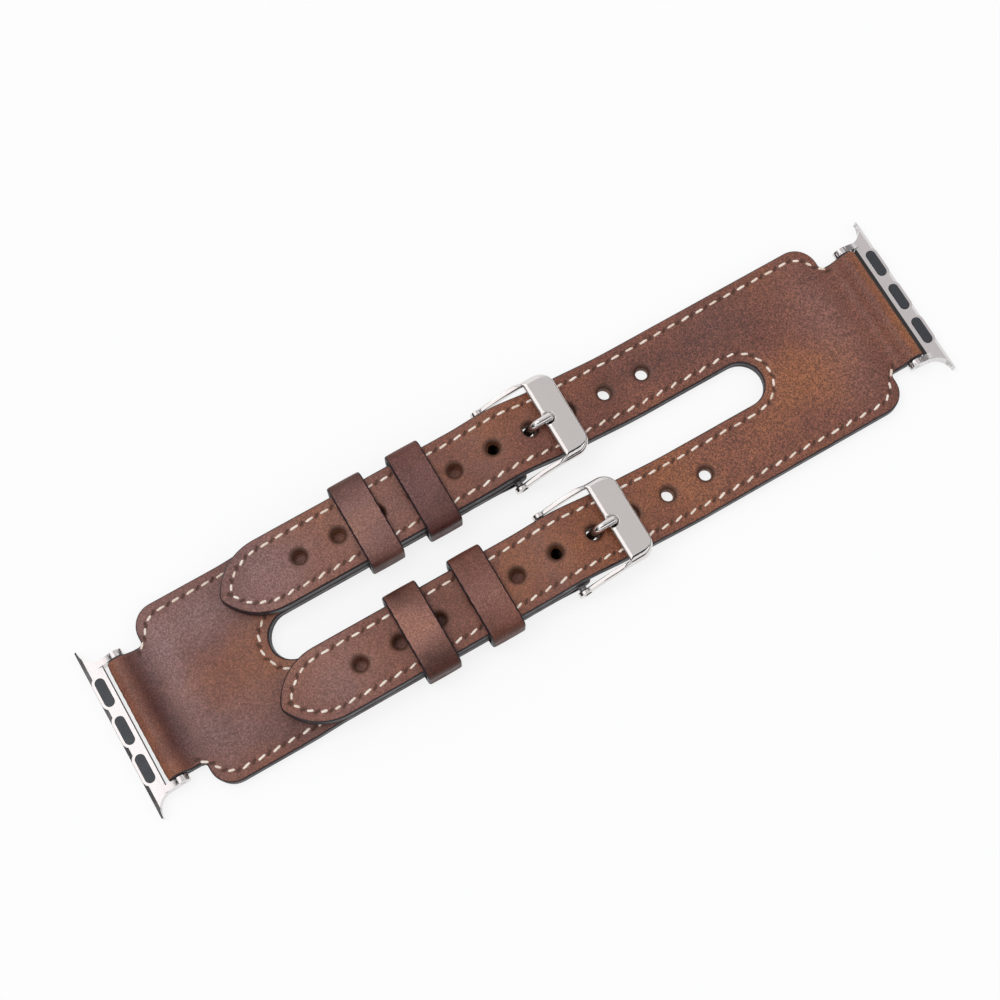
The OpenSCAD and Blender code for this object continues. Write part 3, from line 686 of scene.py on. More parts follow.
def thread_mesh(name, path, seams, depth_of, way, sunk, rings, sides, ply):
    """Slanted stitches that dive into their holes at both ends, as one mesh."""
    vertices, faces, shade = [], [], []
    k = np.linspace(0, 1, rings)
    bow = np.abs(2 * k - 1)
    turns = np.linspace(0, 2 * math.pi, sides, endpoint=False)
    for a, b in [ends for _, run in seams for ends in zip(run[:-1], run[1:])]:
        span = b - a
        length = np.linalg.norm(span)
        slant = stitch_slant((a[1] + b[1]) / 2) * way + rng.normal(0, SLANT_SPREAD)
        c, s = math.cos(slant), math.sin(slant)
        ahead = np.array([span[0] * c - span[1] * s, span[0] * s + span[1] * c]) / length
        side = np.array([-ahead[1], ahead[0]])
        half = (length - THREAD_GAP) / 2 * rng.uniform(0.93, 1.06)
        centre = (a + b) / 2 + side * rng.normal(0, 0.04)
        sink = sunk + rng.normal(0, 0.015) + THREAD_DIVE * bow ** 6
        spine = centre + ahead * ((2 * k - 1) * half)[:, None]
        radius = THREAD_R * (1 - 0.5 * bow ** 3) * rng.uniform(0.92, 1.08)
        twist = rng.uniform(0, 6.3) + 2.2 * math.pi * k
        thick = radius[:, None] * (1 + ply * np.cos(2 * (turns - twist[:, None])))
        e, y = (spine[:, i:i + 1] + side[i] * thick * np.cos(turns) for i in (0, 1))
        depth = depth_of(e) + way * (sink[:, None] - thick * np.sin(turns))
        first = len(vertices) * rings * sides
        last = first + (rings - 1) * sides
        vertices.append(path.solid(e.ravel(), y.ravel(), depth.ravel()))
        shade += [rng.uniform(0, 1)] * (rings * sides)
        caps = [tuple(range(first, first + sides))[::-1], tuple(range(last, last + sides))]
        faces += [f[::-way] for f in wrapped(rings, sides, first) + caps]
    return new_object(name, np.vstack(vertices), faces, [("tone", shade)])


# Materials

def linear(red, green, blue):
    """A colour written as 0 to 255 values, as the shader takes it."""
    def one(v):
        v /= 255
        return v / 12.92 if v <= 0.04045 else ((v + 0.055) / 1.055) ** 2.4
    return (one(red), one(green), one(blue), 1)


class Nodes:
    """A short way to write the node tree of a material or of the world."""

    def __init__(self, owner):
        owner.use_nodes = True
        self.owner = owner
        self.tree = owner.node_tree

    def add(self, kind, sockets=(), **settings):
        """A new node with its settings, and its sockets linked or set by name or number."""
        node = self.tree.nodes.new(kind)
        for key, value in settings.items():
            setattr(node, key, value)
        for key, value in dict(sockets).items():
            self.link(value, node.inputs[key])
        return node

    def link(self, source, target):
        if isinstance(source, bpy.types.NodeSocket):
            self.tree.links.new(source, target)
        else:
            target.default_value = source

    def axes(self):
        return self.add("ShaderNodeSeparateXYZ", {0: self.spot}).outputs

    def noise(self, scale, detail, rough=0.55, warp=0.0, stretch=None):
        spot = self.spot
        if stretch:
            spot = self.add("ShaderNodeMapping", {"Scale": stretch, "Vector": spot}).outputs[0]
        return self.add("ShaderNodeTexNoise", {
            "Scale": scale, "Detail": detail, "Roughness": rough, "Distortion": warp,
            "Vector": spot}).outputs["Fac"]

    def cells(self, scale):
        return self.add("ShaderNodeTexVoronoi", {"Scale": scale, "Vector": self.spot},
                        feature="SMOOTH_F1").outputs["Distance"]

    def math(self, operation, a, b=0.0, clamp=False):
        return self.add("ShaderNodeMath", {0: a, 1: b}, operation=operation,
                        use_clamp=clamp).outputs[0]

    def plus(self, a, b):
        return self.math("ADD", a, b)

    def times(self, a, b, clamp=False):
        return self.math("MULTIPLY", a, b, clamp)

    def scale(self, value, low, high, to_low=0.0, to_high=1.0):
        """A value moved smoothly from one range to another."""
        return self.add("ShaderNodeMapRange", {
            "Value": value, "From Min": low, "From Max": high, "To Min": to_low,
            "To Max": to_high}, interpolation_type="SMOOTHSTEP").outputs["Result"]

    def mix(self, share, a, b, kind="MIX"):
        return self.add("ShaderNodeMix", {"Factor": share, "A": a, "B": b}, data_type="RGBA",
                        blend_type=kind).outputs["Result"]

    def tint(self, share, colour, by):
        """A colour of which a share is multiplied by another."""
        return self.mix(share, colour, self.mix(1.0, colour, by, "MULTIPLY"))

    def ramp(self, value, stops):
        node = self.add("ShaderNodeValToRGB", {"Fac": value})
        marks = node.color_ramp.elements
        while len(marks) < len(stops):
            marks.new(0.5)
        for mark, (place, colour) in zip(marks, stops):
            mark.position = place
            mark.color = colour
        return node.outputs["Color"]

    def value(self, label):
        """A number that the mesh holds for each point."""
        return self.add("ShaderNodeAttribute", attribute_name=label).outputs["Fac"]

    def bump(self, height, distance, strength):
        return self.add("ShaderNodeBump", {"Height": height, "Distance": distance,
                                           "Strength": strength}).outputs["Normal"]

    def seen(self):
        """1 for rays from the camera and from shiny pieces, otherwise 0."""
        rays = self.add("ShaderNodeLightPath").outputs
        return self.math("MAXIMUM", rays["Is Camera Ray"], rays["Is Glossy Ray"])

    def finish(self, end="Principled BSDF", **sockets):
        for key, value in sockets.items():
            self.link(value, self.tree.nodes[end].inputs[key.replace("_", " ")])
        return self.owner


def new_material(name):
    return Nodes(bpy.data.materials.new(name))


def textured(name):
    """A new material that knows each point's place on its piece."""
    n = new_material(name)
    n.spot = n.add("ShaderNodeTexCoord").outputs["Object"]
    return n


EDGE_PAINT = linear(30, 17, 25)
# Darker colour at seams and holes: partly stained leather, partly painted shade in the holes
STITCH_STAIN_AND_SHADE = linear(74, 46, 32)
# Greyish haze colour: partly the leather's waxy finish, partly painted sheen
WAX_AND_SHEEN = linear(164, 140, 146)
SHADED = linear(34, 30, 28)
# The grain is a noise this fine, crossed by stretching it both ways
GRAIN_SCALE = 5400
GRAIN_STRETCH = ((0.5, 1.2, 1), (1.2, 0.5, 1))
# It is full from the second X on, and this share of it is left up to the first one
GRAIN_X = (-10 * MM, 30 * MM)
LEFT_GRAIN = 0.65


def leather(name, tones, pull=0.5, grain=0.6, gloss=0.5, shine=0.5):
    """Oiled pull-up leather: soft clouds, fine grain, a greyish waxy haze with painted sheen,
    darker seams and holes with painted shade in the holes, and dark painted edges. Its tones go
    from dark to tan."""
    n = textured(name)
    clouds = n.times(n.math("SUBTRACT", n.noise(55, 3, 0.5, 0.3), 0.5), 0.8)
    streaks = n.times(n.math("SUBTRACT", n.noise(230, 3, 0.6, 0.2), 0.5), 0.35)
    level = n.plus(n.plus(clouds, streaks), n.plus(n.times(n.value("tone"), pull), 0.5))
    colour = n.ramp(level, [(place, linear(*tone)) for place, tone in zip((0.05, 0.5, 0.95), tones)])
    along, across = (n.noise(GRAIN_SCALE, 1, 0.6, stretch=s) for s in GRAIN_STRETCH)
    fine = n.times(n.plus(along, across), 0.5)
    share = n.scale(n.axes()["X"], *GRAIN_X, LEFT_GRAIN * grain, grain)
    colour = n.tint(share, colour, n.ramp(fine, [
        (0.39, (0.26, 0.22, 0.2, 1)), (0.5, (0.9, 0.89, 0.88, 1)), (0.61, (2.2, 2.2, 2.2, 1))]))
    creased = n.scale(n.noise(800, 4, 0.7, 0.6), 0.35, 0.65, 0.0, 0.3)
    colour = n.tint(creased, colour, (0.72, 0.68, 0.67, 1))
    # Greyish haze: partly the leather's waxy finish, partly painted sheen of the lamps
    wax_and_sheen_share = n.times(n.value("bloom"), n.scale(fine, 0.4, 0.68, 0.25, 1.0))
    colour = n.mix(n.times(wax_and_sheen_share, 0.62, True), colour, WAX_AND_SHEEN)
    # Darker at seams and holes: stained leather, with painted shade in the thread holes and punched
    # rims
    colour = n.mix(n.scale(n.value("stain_and_shade"), 0.05, 0.9, 0.0, 0.85), colour, STITCH_STAIN_AND_SHADE)
    painted = n.scale(n.plus(n.value("paint"), n.times(n.noise(900, 2), 0.5)), 0.7, 0.95)
    colour = n.mix(painted, colour, EDGE_PAINT)
    rough = n.scale(n.noise(300, 3), 0.3, 0.7, gloss - 0.07, gloss + 0.09)
    height = n.plus(n.times(n.cells(2200), grain), n.times(n.noise(4200, 3, 0.6), 0.8))
    height = n.times(height, n.math("SUBTRACT", 1.0, painted))
    return n.finish(Base_Color=colour, Roughness=n.plus(rough, n.times(painted, -0.05)),
                    Normal=n.bump(height, 0.0001, 0.5), Specular_IOR_Level=shine)


def steel(name, colour, rough, brushed=0.0, stretch=None, shaded_below=None, shaded_within=()):
    """Polished or satin steel with faint wear. Where no light gets it has painted shade, darker and
    rougher: under the heights shaded_below, and there only as near to the band's middle as
    shaded_within says."""
    n = textured(name)
    marks = n.noise(2200, 2, 0.5, 0.0, stretch)
    smear = n.scale(n.noise(180, 4, 0.6), 0.3, 0.75, rough * 0.7, rough * 1.4)
    amount = n.plus(smear, n.times(marks, brushed))
    scratches = n.scale(n.noise(900, 3, 0.6, 0.0, (1, 14, 1)), 0.4, 0.75, 0.0, 0.35)
    tint = n.tint(scratches, colour, (0.86, 0.86, 0.87, 1))
    if shaded_below:
        axes = n.axes()
        low, high = shaded_below
        shade = n.scale(axes["Z"], low * MM, high * MM, 1.0, 0.0)
        for axis, reach in shaded_within:
            shade = n.times(shade, n.scale(n.math("ABSOLUTE", axes[axis]), (reach + 0.02) * MM,
                                           (reach + 0.1) * MM, 1.0, 0.0))
        # Painted shade: darker and rougher where no light gets
        tint = n.mix(shade, tint, SHADED)
        amount = n.plus(amount, n.times(shade, 0.4))
    return n.finish(Base_Color=tint, Roughness=amount, Normal=n.bump(marks, 0.000004, 0.25),
                    Metallic=1.0)


def thread_material(name):
    n = textured(name)
    colour = n.mix(n.value("tone"), linear(252, 240, 228), linear(236, 218, 200))
    fibres = n.noise(9000, 2, 0.6)
    colour = n.mix(n.scale(fibres, 0.4, 0.7, 0.0, 0.25), colour, linear(190, 160, 134))
    return n.finish(Base_Color=colour, Roughness=0.6, Sheen_Weight=0.2,
                    Normal=n.bump(fibres, 0.00003, 0.5))


def plastic(name, colour):
    n = textured(name)
    speck = n.noise(3000, 2)
    tint = n.mix(n.scale(speck, 0.3, 0.7, 0.0, 0.3), colour, linear(62, 64, 70))
    rough = n.scale(n.noise(500, 2), 0.3, 0.7, 0.42, 0.56)
    return n.finish(Base_Color=tint, Roughness=rough, Normal=n.bump(speck, 0.00001, 0.3))


SADDLE = leather("saddle_leather", ((84, 45, 40), (120, 69, 51), (152, 92, 52)), grain=0.7)
LINING = leather("lining_leather", ((118, 76, 50), (146, 98, 64), (166, 116, 78)), pull=0.2,
                 gloss=0.6)
THREAD = thread_material("cream_thread")
# The prong is painted dark below 4.6 to 5.6 mm: painted shade where it lies under the strap
PRONG_STEEL = steel("prong_steel", linear(226, 222, 220), 0.06, shaded_below=(4.6, 5.6))
POLISHED = steel("polished_steel", linear(226, 222, 220), 0.06)
# The adapters' walls beside the neck are painted dark below 3.0 to 3.3 mm: painted shade in the gap
# at the leather
SATIN = steel("satin_steel", linear(222, 218, 218), 0.14, 0.06, (1, 30, 1), (3.0, 3.3),
              (("X", PLATE_GAP - NECK_END_X), ("Y", NECK_W / 2)))
DULL = steel("dull_steel", linear(180, 180, 182), 0.3)
DARK = plastic("charcoal_plastic", linear(40, 43, 50))


# Leather halves

# Lighter and darker places of the halves; the dark band at X -73 is painted shade in the valley
# behind the buckle-end fold
BUCKLE_TONES = patches(
    (-77.4, 0, 1.6, 30, 0.2), (-73, 0, 2.4, 30, -0.8), (-55, -1, 8, 7, 0.3),
    (-64, 12, 8, 6, -0.3), (-66, -9, 6, 6, -0.4), (-54, -13, 7, 4, -0.5), (-75, 12, 2.5, 3, 0.1),
    (-74, -12, 2.5, 3, 0.3))
# Where each half shows a greyish haze: partly the leather's waxy finish, partly painted sheen, as on
# the ridge at X -68.5
BUCKLE_WAX_AND_SHEEN = patches(
    (-68.5, 4, 2.6, 12, 0.7), (-62, 12, 9, 6, 0.85), (-64, -10, 8, 6, 0.5), (-48, 12, 8, 5, 0.5),
    (-46, -13, 8, 5, 0.3))
TONGUE_TONES = patches(
    (-46, 11, 11, 8, -0.1), (-44, -11, 12, 8, -0.05), (-2, -11, 14, 6, 0.35),
    (28, -11, 16, 6, 0.25), (30, 11, 14, 5, -0.35), (52, 10, 9, 8, -0.35), (50, -14, 9, 4, -0.2),
    (56, -3, 8, 7, 0.35), (77.6, 0, 1.6, 30, 0.7), (70, 0, 3, 14, -0.1))
TONGUE_WAX_AND_SHEEN = patches(
    (-46, 11, 9, 9, 0.8), (-44, -11, 8, 9, 0.55), (-25, 11, 9, 8, 0.4), (48, 13, 9, 6, 0.1),
    (66, 3, 5, 12, 0.35), (64, -12, 6, 5, 0.1), (8, 11, 4, 5, 0.2))

FLUSH = layered(0)
UNDER_OUTER = layered(OUTER_T)
UNDER_LINING = layered(OUTER_T + LINING_T)


def make_half(half, path, seams, outer_loops, outer_t, lining_loops, lining_seams, **others):
    """Outer leather, lining and the stitches on both sides of a half of the band."""
    outer = Sheet(half + "_leather", path, outer_loops, (FLUSH, outer_t),
                  (SKIN_EDGE_R, JOINT_EDGE_R), OUTER_SPACING, 1, seams, **others)
    lining = Sheet(half + "_backing", path, lining_loops, (UNDER_OUTER, UNDER_LINING),
                   (JOINT_EDGE_R, LINING_EDGE_R), LINING_SPACING, -1, lining_seams)
    upper_thread = thread_mesh(half + "_stitching", path, seams, FLUSH, 1, UPPER_SINK, 8, 10, 0.14)
    lower_thread = thread_mesh(half + "_back_stitching", path, lining_seams, UNDER_LINING, -1,
                               LOWER_SINK, 6, 6, 0.0)
    dress(outer.object, SADDLE, "leather_outer", "band", half + "_outer")
    dress(lining.object, LINING, "leather_lining", "band", half + "_lining")
    dress(upper_thread, THREAD, "leather_outer", "band")
    dress(lower_thread, THREAD, "leather_lining", "band")


def make_buckle_half():
    seams = buckle_seams()
    low, high = LEFT_BAR[0] + BAR_TAIL, PIN[0] - PIN_TAIL
    outer_t = layered(LINING_T, (LEFT_BAR[0] - HALF_TURN, FOLD_T), (LEFT_BAR[0] + 2, OUTER_T),
                      (PIN[0] - 2, FOLD_T), (PIN[0] + HALF_TURN, LINING_T))
    make_half("buckle_half", Path(*BUCKLE_ENDS, buckle_place), seams,
              [[buckle_outline(*BUCKLE_ENDS)] + prong_slots()] * 2, outer_t,
              [[buckle_outline(low, high)]] * 2, between(seams, low + 1, high - 1),
              tone=BUCKLE_TONES, bloom=BUCKLE_WAX_AND_SHEEN)


def make_tongue_half():
    seams = tongue_seams()
    high = RIGHT_BAR[0] - BAR_TAIL
    outer_t = layered(OUTER_T, (RIGHT_BAR[0] - 2, FOLD_T), (RIGHT_BAR[0] + HALF_TURN, LINING_T))
    top, joint, bottom = punched_holes()
    outline, lining_outline = tongue_outline(TONGUE_ENDS[1]), tongue_outline(high)
    make_half("tongue_half", Path(*TONGUE_ENDS, tongue_place), seams,
              [[outline] + top, [outline] + joint], outer_t,
              [[lining_outline] + joint, [lining_outline] + bottom],
              between(seams, TIP_X, high - 1), tone=TONGUE_TONES, bloom=TONGUE_WAX_AND_SHEEN,
              punches=[(x, y) for y in (STRAP_Y, -STRAP_Y) for x in HOLE_XS])


make_buckle_half()
make_tongue_half()


# Keepers

# Each has the name of its leather, the leather's tones from dark to tan, and how light the band
# is at these places from its lower end to its upper end: darker towards both ends, which is painted
# shade where the band curls round the straps
KEEPER_PLACES = (0, 0.1, 0.5, 0.88, 1)
KEEPERS = {
    "upper_fixed_keeper": ("wine", ((68, 28, 22), (102, 58, 50), (122, 76, 60)),
                           (-0.8, -0.5, 0.1, -0.1, -0.5)),
    "lower_fixed_keeper": ("red", ((74, 34, 20), (119, 70, 55), (138, 88, 64)),
                           (-0.7, -0.3, 0.3, 0.0, -0.4)),
    "upper_sliding_keeper": ("brown", ((74, 38, 28), (128, 85, 76), (148, 100, 74)),
                             (-0.6, -0.3, 0.35, -0.8, -1.1)),
    "lower_sliding_keeper": ("tan", ((72, 32, 16), (142, 92, 76), (164, 108, 78)),
                             (-0.8, -0.9, 0.5, -0.45, -0.7)),
}
KEEPER_OUTER_R = 0.38
KEEPER_INNER_R = 0.15


def keeper_mesh(name, node, seed, tones):
    """A leather band swept round the straps, with rounded edges and a glued seam below."""
    low, high = box_mm(node)
    r = KEEPER_EDGE_R
    corners = [(high[1] - r, high[2] - r, 0), (low[1] + r, high[2] - r, 90),
               (low[1] + r, low[2] + r, 180), (high[1] - r, low[2] + r, 270)]
    loop = divided(np.vstack([arc(cy, cz, r, a, a + 90, 10) for cy, cz, a in corners]), 0.7)
    out = -left_of(unit(np.roll(loop, -1, axis=0) - np.roll(loop, 1, axis=0)))
    half = (high[0] - low[0]) / 2
    edge, small = KEEPER_OUTER_R, KEEPER_INNER_R
    face = np.linspace(half - edge, -half + edge, 11)
    profile = np.vstack([
        arc(half - edge, edge, edge, 0, -90, 22.5)[:-1],
        np.column_stack([face, 0 * face]),
        arc(-half + edge, edge, edge, -90, -180, 22.5)[1:],
        arc(-half + small, KEEPER_T - small, small, 180, 90, 30),
        np.column_stack([face[::-2], 0 * face[::-2] + KEEPER_T]),
        arc(half - small, KEEPER_T - small, small, 90, 0, 30)])
    # A row for each place round the straps, a column for each point of the profile
    w, t = profile.T
    y, z = loop.T[..., None]
    out_y, out_z = out.T[..., None]
    lift = np.random.default_rng(seed).uniform(0, 6.3, 3)
    outside = np.clip(1 - t / KEEPER_T, 0, 1)
    crown = 0.05 * (1 - (w / half) ** 2) - 0.05
    glued = 0.12 * bell(abs(y - (low[1] + high[1]) / 2), 0.12) * (z < low[2] + 1)
    soft = 0.03 * np.sin(0.9 * y + lift[0]) + 0.02 * np.sin(2.3 * y + lift[1])
    depth = t - outside * (crown + soft - 0.05) + outside * glued
    shift = 0.05 * np.sin(0.35 * y + 0.5 * z + lift[2])
    x = (low[0] + high[0]) / 2 + w + shift * (1 - abs(w) / half)
    vertices = np.dstack([x, y - out_y * depth, z - out_z * depth]).reshape(-1, 3)
    place = (y - low[1]) / (high[1] - low[1])
    paint = blur_step(abs(w) + 0.04 * np.sin(3 * y + z), half - 0.42, half - 0.14)
    # Tone along the band, darker at its ends (painted shade), and a greyish haze across its middle
    # (painted sheen on the crown)
    tone = np.interp(place, KEEPER_PLACES, tones) + 0.1 * np.sin(0.4 * y + 0.5 * w)
    bloom = 0.3 * bell(abs(place - 0.5), 0.3) + 0 * w
    return new_object(name, vertices, wrapped(len(loop), len(profile), ends_meet=True),
                      zip(LOOKS, map(np.ravel, (paint, 0 * depth, tone, bloom))))


for index, (node, (name, colours, tones)) in enumerate(KEEPERS.items()):
    body = "band" if "fixed" in node else node.replace("sliding_keeper", "slider")
    dress(keeper_mesh(node + "_band", node, index, tones),
          leather("keeper_leather_" + name, colours, shine=0.35), "leather_keeper", body, node)


# Metal

# Angles from which an edge stays sharp
PIECE_SHARP = math.radians(50)
NODE_SHARP = math.radians(35)
ADAPTER_SHARP = math.radians(28)
ADAPTER_SOFT = 0.12
# The more weight, the flatter the large faces look
ADAPTER_WEIGHT = 100


def soft_adapter(end):
    """A copy of an adapter's CAD solid whose sharp edges are rounded."""
    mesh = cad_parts[end + "_adapter"].data.copy()
    mesh.name = end + "_adapter_satin"
    obj = linked(mesh.name, mesh)
    obj.modifiers.new("weld", "WELD").merge_threshold = 0.002 * MM
    flat = obj.modifiers.new("flat", "DECIMATE")
    flat.decimate_type = "DISSOLVE"
    flat.angle_limit = math.radians(0.1)
    bevel = obj.modifiers.new("bevel", "BEVEL")
    bevel.width = ADAPTER_SOFT * MM
    bevel.segments = 3
    bevel.limit_method = "ANGLE"
    bevel.angle_limit = ADAPTER_SHARP
    obj.modifiers.new("even", "WEIGHTED_NORMAL").weight = ADAPTER_WEIGHT
    mesh.shade_smooth()
    graph = bpy.context.evaluated_depsgraph_get()
    final = bpy.data.meshes.new_from_object(obj.evaluated_get(graph),
                                            preserve_all_data_layers=True, depsgraph=graph)
    obj.modifiers.clear()
    obj.data = final
    return obj


def lesser(a, b, blend=0.05):
    """The lesser of two heights, with a soft crease between them."""
    share = np.clip(0.5 + (b - a) / (2 * blend), 0, 1)
    return b + (a - b) * share - blend * share * (1 - share)


def frame_outline():
    """A buckle frame seen from above, from its pin, with the steel on its left."""
    y, r = BUCKLE_W / 2, FRONT_CORNER_R
    inner = y - ARM_W
    return divided(np.vstack([
        [[0, -y]], arc(FRAME_X1 - r, r - y, r, -90, 0, 7), arc(FRAME_X1 - r, y - r, r, 0, 90, 7),
        [[0, y], [0, inner], [FRAME_X0, inner], [FRAME_X0, -inner], [0, -inner]]]), 0.35)


def edge_of_bar(points):
    """Distance from the front bar's outer edge, and the share of it that faces +X."""
    r = FRONT_CORNER_R
    past = np.column_stack([points[:, 0] - (FRAME_X1 - r),
                            np.abs(points[:, 1]) - (BUCKLE_W / 2 - r)])
    beyond = np.maximum(past, 0)
    corner = np.hypot(*beyond.T)
    gap = r - np.where(corner > 0, corner, past.max(axis=1))
    ahead = np.where(corner > 0, beyond[:, 0] / np.maximum(corner, 1e-9), past[:, 0] > past[:, 1])
    return gap, ahead ** 2


def frame_heights(points):
    """Heights over the pin of the upper face of a frame: its arc, ends, bevels and prong seat."""
    x, y = points.T
    top = FRAME_RISE + FRAME_T / 2
    height = FRAME_RISE - FRAME_R + np.sqrt((FRAME_R + FRAME_T / 2) ** 2 - (x - FRAME_REACH) ** 2)
    gap, ahead = edge_of_bar(points)
    on_bar = blur_step(x, FRAME_X0 - 2, FRAME_X0 + 0.4)
    radius = (FRAME_END_R + (FRAME_BEVEL - FRAME_END_R) * ahead) * on_bar + 0.2 * (1 - on_bar)
    height = lesser(height, height - rounding(gap, radius))
    rise_in = x - FRAME_X0
    past_edge = x > FRAME_X0 - 0.01
    bevel = top - INNER_BEVEL_D * (1 - rise_in / INNER_BEVEL_W)
    height = np.where(past_edge, lesser(height, bevel), height)
    round_in = np.sqrt(HOLLOW_R ** 2 - y ** 2 * (abs(y) < HOLLOW_R))
    hollow = top - HOLLOW_D * (1 - rise_in / HOLLOW_L) + HOLLOW_R - round_in
    near = (abs(y) < HOLLOW_R * 0.9) & past_edge
    height = np.where(near, lesser(height, hollow, 0.1), height)
    dome = SEAT_R ** 2 - y ** 2 - np.maximum(rise_in - SEAT_L + SEAT_R, 0) ** 2
    seat = top - SEAT_D + SEAT_R - np.sqrt(np.maximum(dome, 0))
    return np.where((dome > 0) & past_edge, lesser(height, seat, 0.06), height)


def add_eye(vertices, faces, y0, y1, bore_r):
    """Adds a short tube round the pin's axis, with rounded outer edges, and returns the vertices."""
    soft, r = FRAME_SOFT, FRAME_EYE_R
    profile = np.vstack([[[bore_r, y0]], arc(r - soft, y0 + soft, soft, -90, 0, 22.5),
                         arc(r - soft, y1 - soft, soft, 0, 90, 22.5), [[bore_r, y1]]])
    faces += wrapped(EYE_SIDES, len(profile), len(vertices), True)
    x, y = profile.T
    turns = np.linspace(0, 2 * math.pi, EYE_SIDES, endpoint=False)
    rings = [np.column_stack([x * math.cos(t), y, x * math.sin(t)]) for t in turns]
    return np.vstack([vertices] + rings)


def on_pin(name, sign, vertices, faces):
    """A piece of steel from its shape round the middle of its pin."""
    obj = new_object(name, vertices + [PIN[0], sign * STRAP_Y, PIN[2]], faces)
    obj.data.set_sharp_from_angle(angle=PIECE_SHARP)
    return obj


def frame_mesh(name, sign):
    """A buckle frame: a curved front bar with rounded ends, two arms and their eyes."""
    loops = [frame_outline()]
    seat_x, seat_y = np.meshgrid(np.arange(FRAME_X0, FRAME_X0 + SEAT_L + 0.4, 0.12),
                                 np.arange(-SEAT_R - 0.6, SEAT_R + 0.7, 0.12))
    bevels = [[FRAME_X0 + INNER_BEVEL_W + step, y] for step in (-0.1, 0, 0.1)
              for y in np.arange(-BUCKLE_W / 2 + 0.3, BUCKLE_W / 2 - 0.2, 0.3)]
    extra = np.vstack([inset(loops[0], d) for d in (0.3, 0.45, 0.6, 0.8, 1.0, 1.25, 1.5)]
                      + [np.column_stack([seat_x.ravel(), seat_y.ravel()]), bevels,
                         grid_inside(loops, 0.4, 0.3)])
    points, triangles, rim = face_mesh(loops, FRAME_SOFT, thinned(extra, loops, FRAME_CELL))
    edge = distance_to(points, map(closed, loops))
    edge[:rim] = 0
    soft = rounding(edge, FRAME_SOFT)
    low_arc = FRAME_RISE - FRAME_R + np.sqrt((FRAME_R - FRAME_T / 2) ** 2
                                             - (points[:, 0] - FRAME_REACH) ** 2)
    upper = np.maximum(frame_heights(points), low_arc + 2 * FRAME_SOFT + 0.05) - soft
    count = len(points)
    vertices = np.vstack([np.column_stack([points, upper]),
                          np.column_stack([points, low_arc + soft])])
    faces = [tuple(t) for t in triangles] + [tuple(count + v for v in t[::-1]) for t in triangles]
    faces += walls(loops, 0, count)
    for side in (BUCKLE_W / 2 - ARM_W, -BUCKLE_W / 2):
        vertices = add_eye(vertices, faces, side, side + ARM_W, EYE_BORE_R)
    return on_pin(name, sign, vertices, faces)


def prong_path():
    """The middle line of a prong in X and Z, from its eye to its tip, with round bends."""
    tip_z = FRAME_RISE + FRAME_T / 2 - SEAT_D + PRONG_R + 0.05
    corners = [np.array(c) for c in (PRONG_START, PRONG_KNEE, (PRONG_BEND_X, tip_z),
                                     (FRAME_X0 + PRONG_END - PRONG_R, tip_z))]
    line = [corners[0]]
    for a, b, c in zip(corners, corners[1:], corners[2:]):
        before, after = np.linalg.norm(b - a), np.linalg.norm(c - b)
        reach = min(PRONG_BEND_R, before * 0.45, after * 0.45)
        start = b + (a - b) / before * reach
        end = b + (c - b) / after * reach
        for t in np.linspace(0, 1, 9):
            line.append((1 - t) ** 2 * start + 2 * t * (1 - t) * b + t * t * end)
    return np.array(line + [corners[-1]])


def prong_mesh(name, sign):
    """A round prong with a domed tip and an eye round the pin."""
    line = prong_path()
    ahead = unit(np.gradient(line, axis=0))
    dome = np.radians(np.linspace(10, 88, 9))
    radii = np.concatenate([np.full(len(line), PRONG_R), np.cos(dome) * PRONG_R])
    line = np.vstack([line, line[-1] + np.outer(np.sin(dome) * PRONG_R, ahead[-1])])
    ahead = np.vstack([ahead, np.repeat(ahead[-1:], len(dome), axis=0)])
    turns = np.linspace(0, 2 * math.pi, PRONG_SIDES, endpoint=False)
    rings = []
    for (x, z), (dx, dz), r in zip(line, ahead, radii):
        up = r * np.sin(turns)
        rings.append(np.column_stack([x - dz * up, r * np.cos(turns), z + dx * up]))
    vertices = np.vstack(rings)
    faces = [(a, d, c, b) for a, b, c, d in wrapped(len(rings), PRONG_SIDES)]
    faces += [tuple(range(PRONG_SIDES)), tuple(range(len(vertices)))[:-PRONG_SIDES - 1:-1]]
    vertices = add_eye(vertices, faces, -PRONG_EYE_W / 2, PRONG_EYE_W / 2, PIN_BORE_R)
    return on_pin(name, sign, vertices, faces)


for side, sign in (("upper", 1), ("lower", -1)):
    dress(frame_mesh(side + "_buckle_polished", sign), POLISHED, "polished_steel",
          side + "_buckle", side + "_buckle_frame")
    dress(prong_mesh(side + "_prong_polished", sign), PRONG_STEEL, "polished_steel",
          side + "_prong_arm", side + "_prong")
for end in ("buckle_end", "tongue_end"):
    dress(soft_adapter(end), SATIN, "satin_steel", end + "_clasp", end + "_adapter")

# The CAD nodes that are still shown
for node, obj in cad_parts.items():
    if not obj.hide_render:
        obj.data.materials.clear()
        obj.data.materials.append(DARK if "pads" in node or "button" in node else DULL)
        obj.data.shade_smooth()
        obj.data.set_sharp_from_angle(angle=NODE_SHARP)


# Stage, lamps and camera

FLOOR_HALF = 2000
FLOOR_Z = -0.02
MAT_Z = -0.01
# In metres
LAMP_DISTANCE = 1.6


def stage_piece(name, material, *areas, hidden_from=()):
    """Level areas of the stage, each the X and Y of two corners and its height."""
    corners = [(x, y, z) for x0, y0, x1, y1, z in areas
               for x, y in ((x0, y0), (x1, y0), (x1, y1), (x0, y1))]
    squares = [tuple(range(k, k + 4)) for k in range(0, len(corners), 4)]
    piece = new_object(name, corners, squares)
    piece.data.materials.append(material)
    for kind in hidden_from:
        setattr(piece, "visible_" + kind, False)


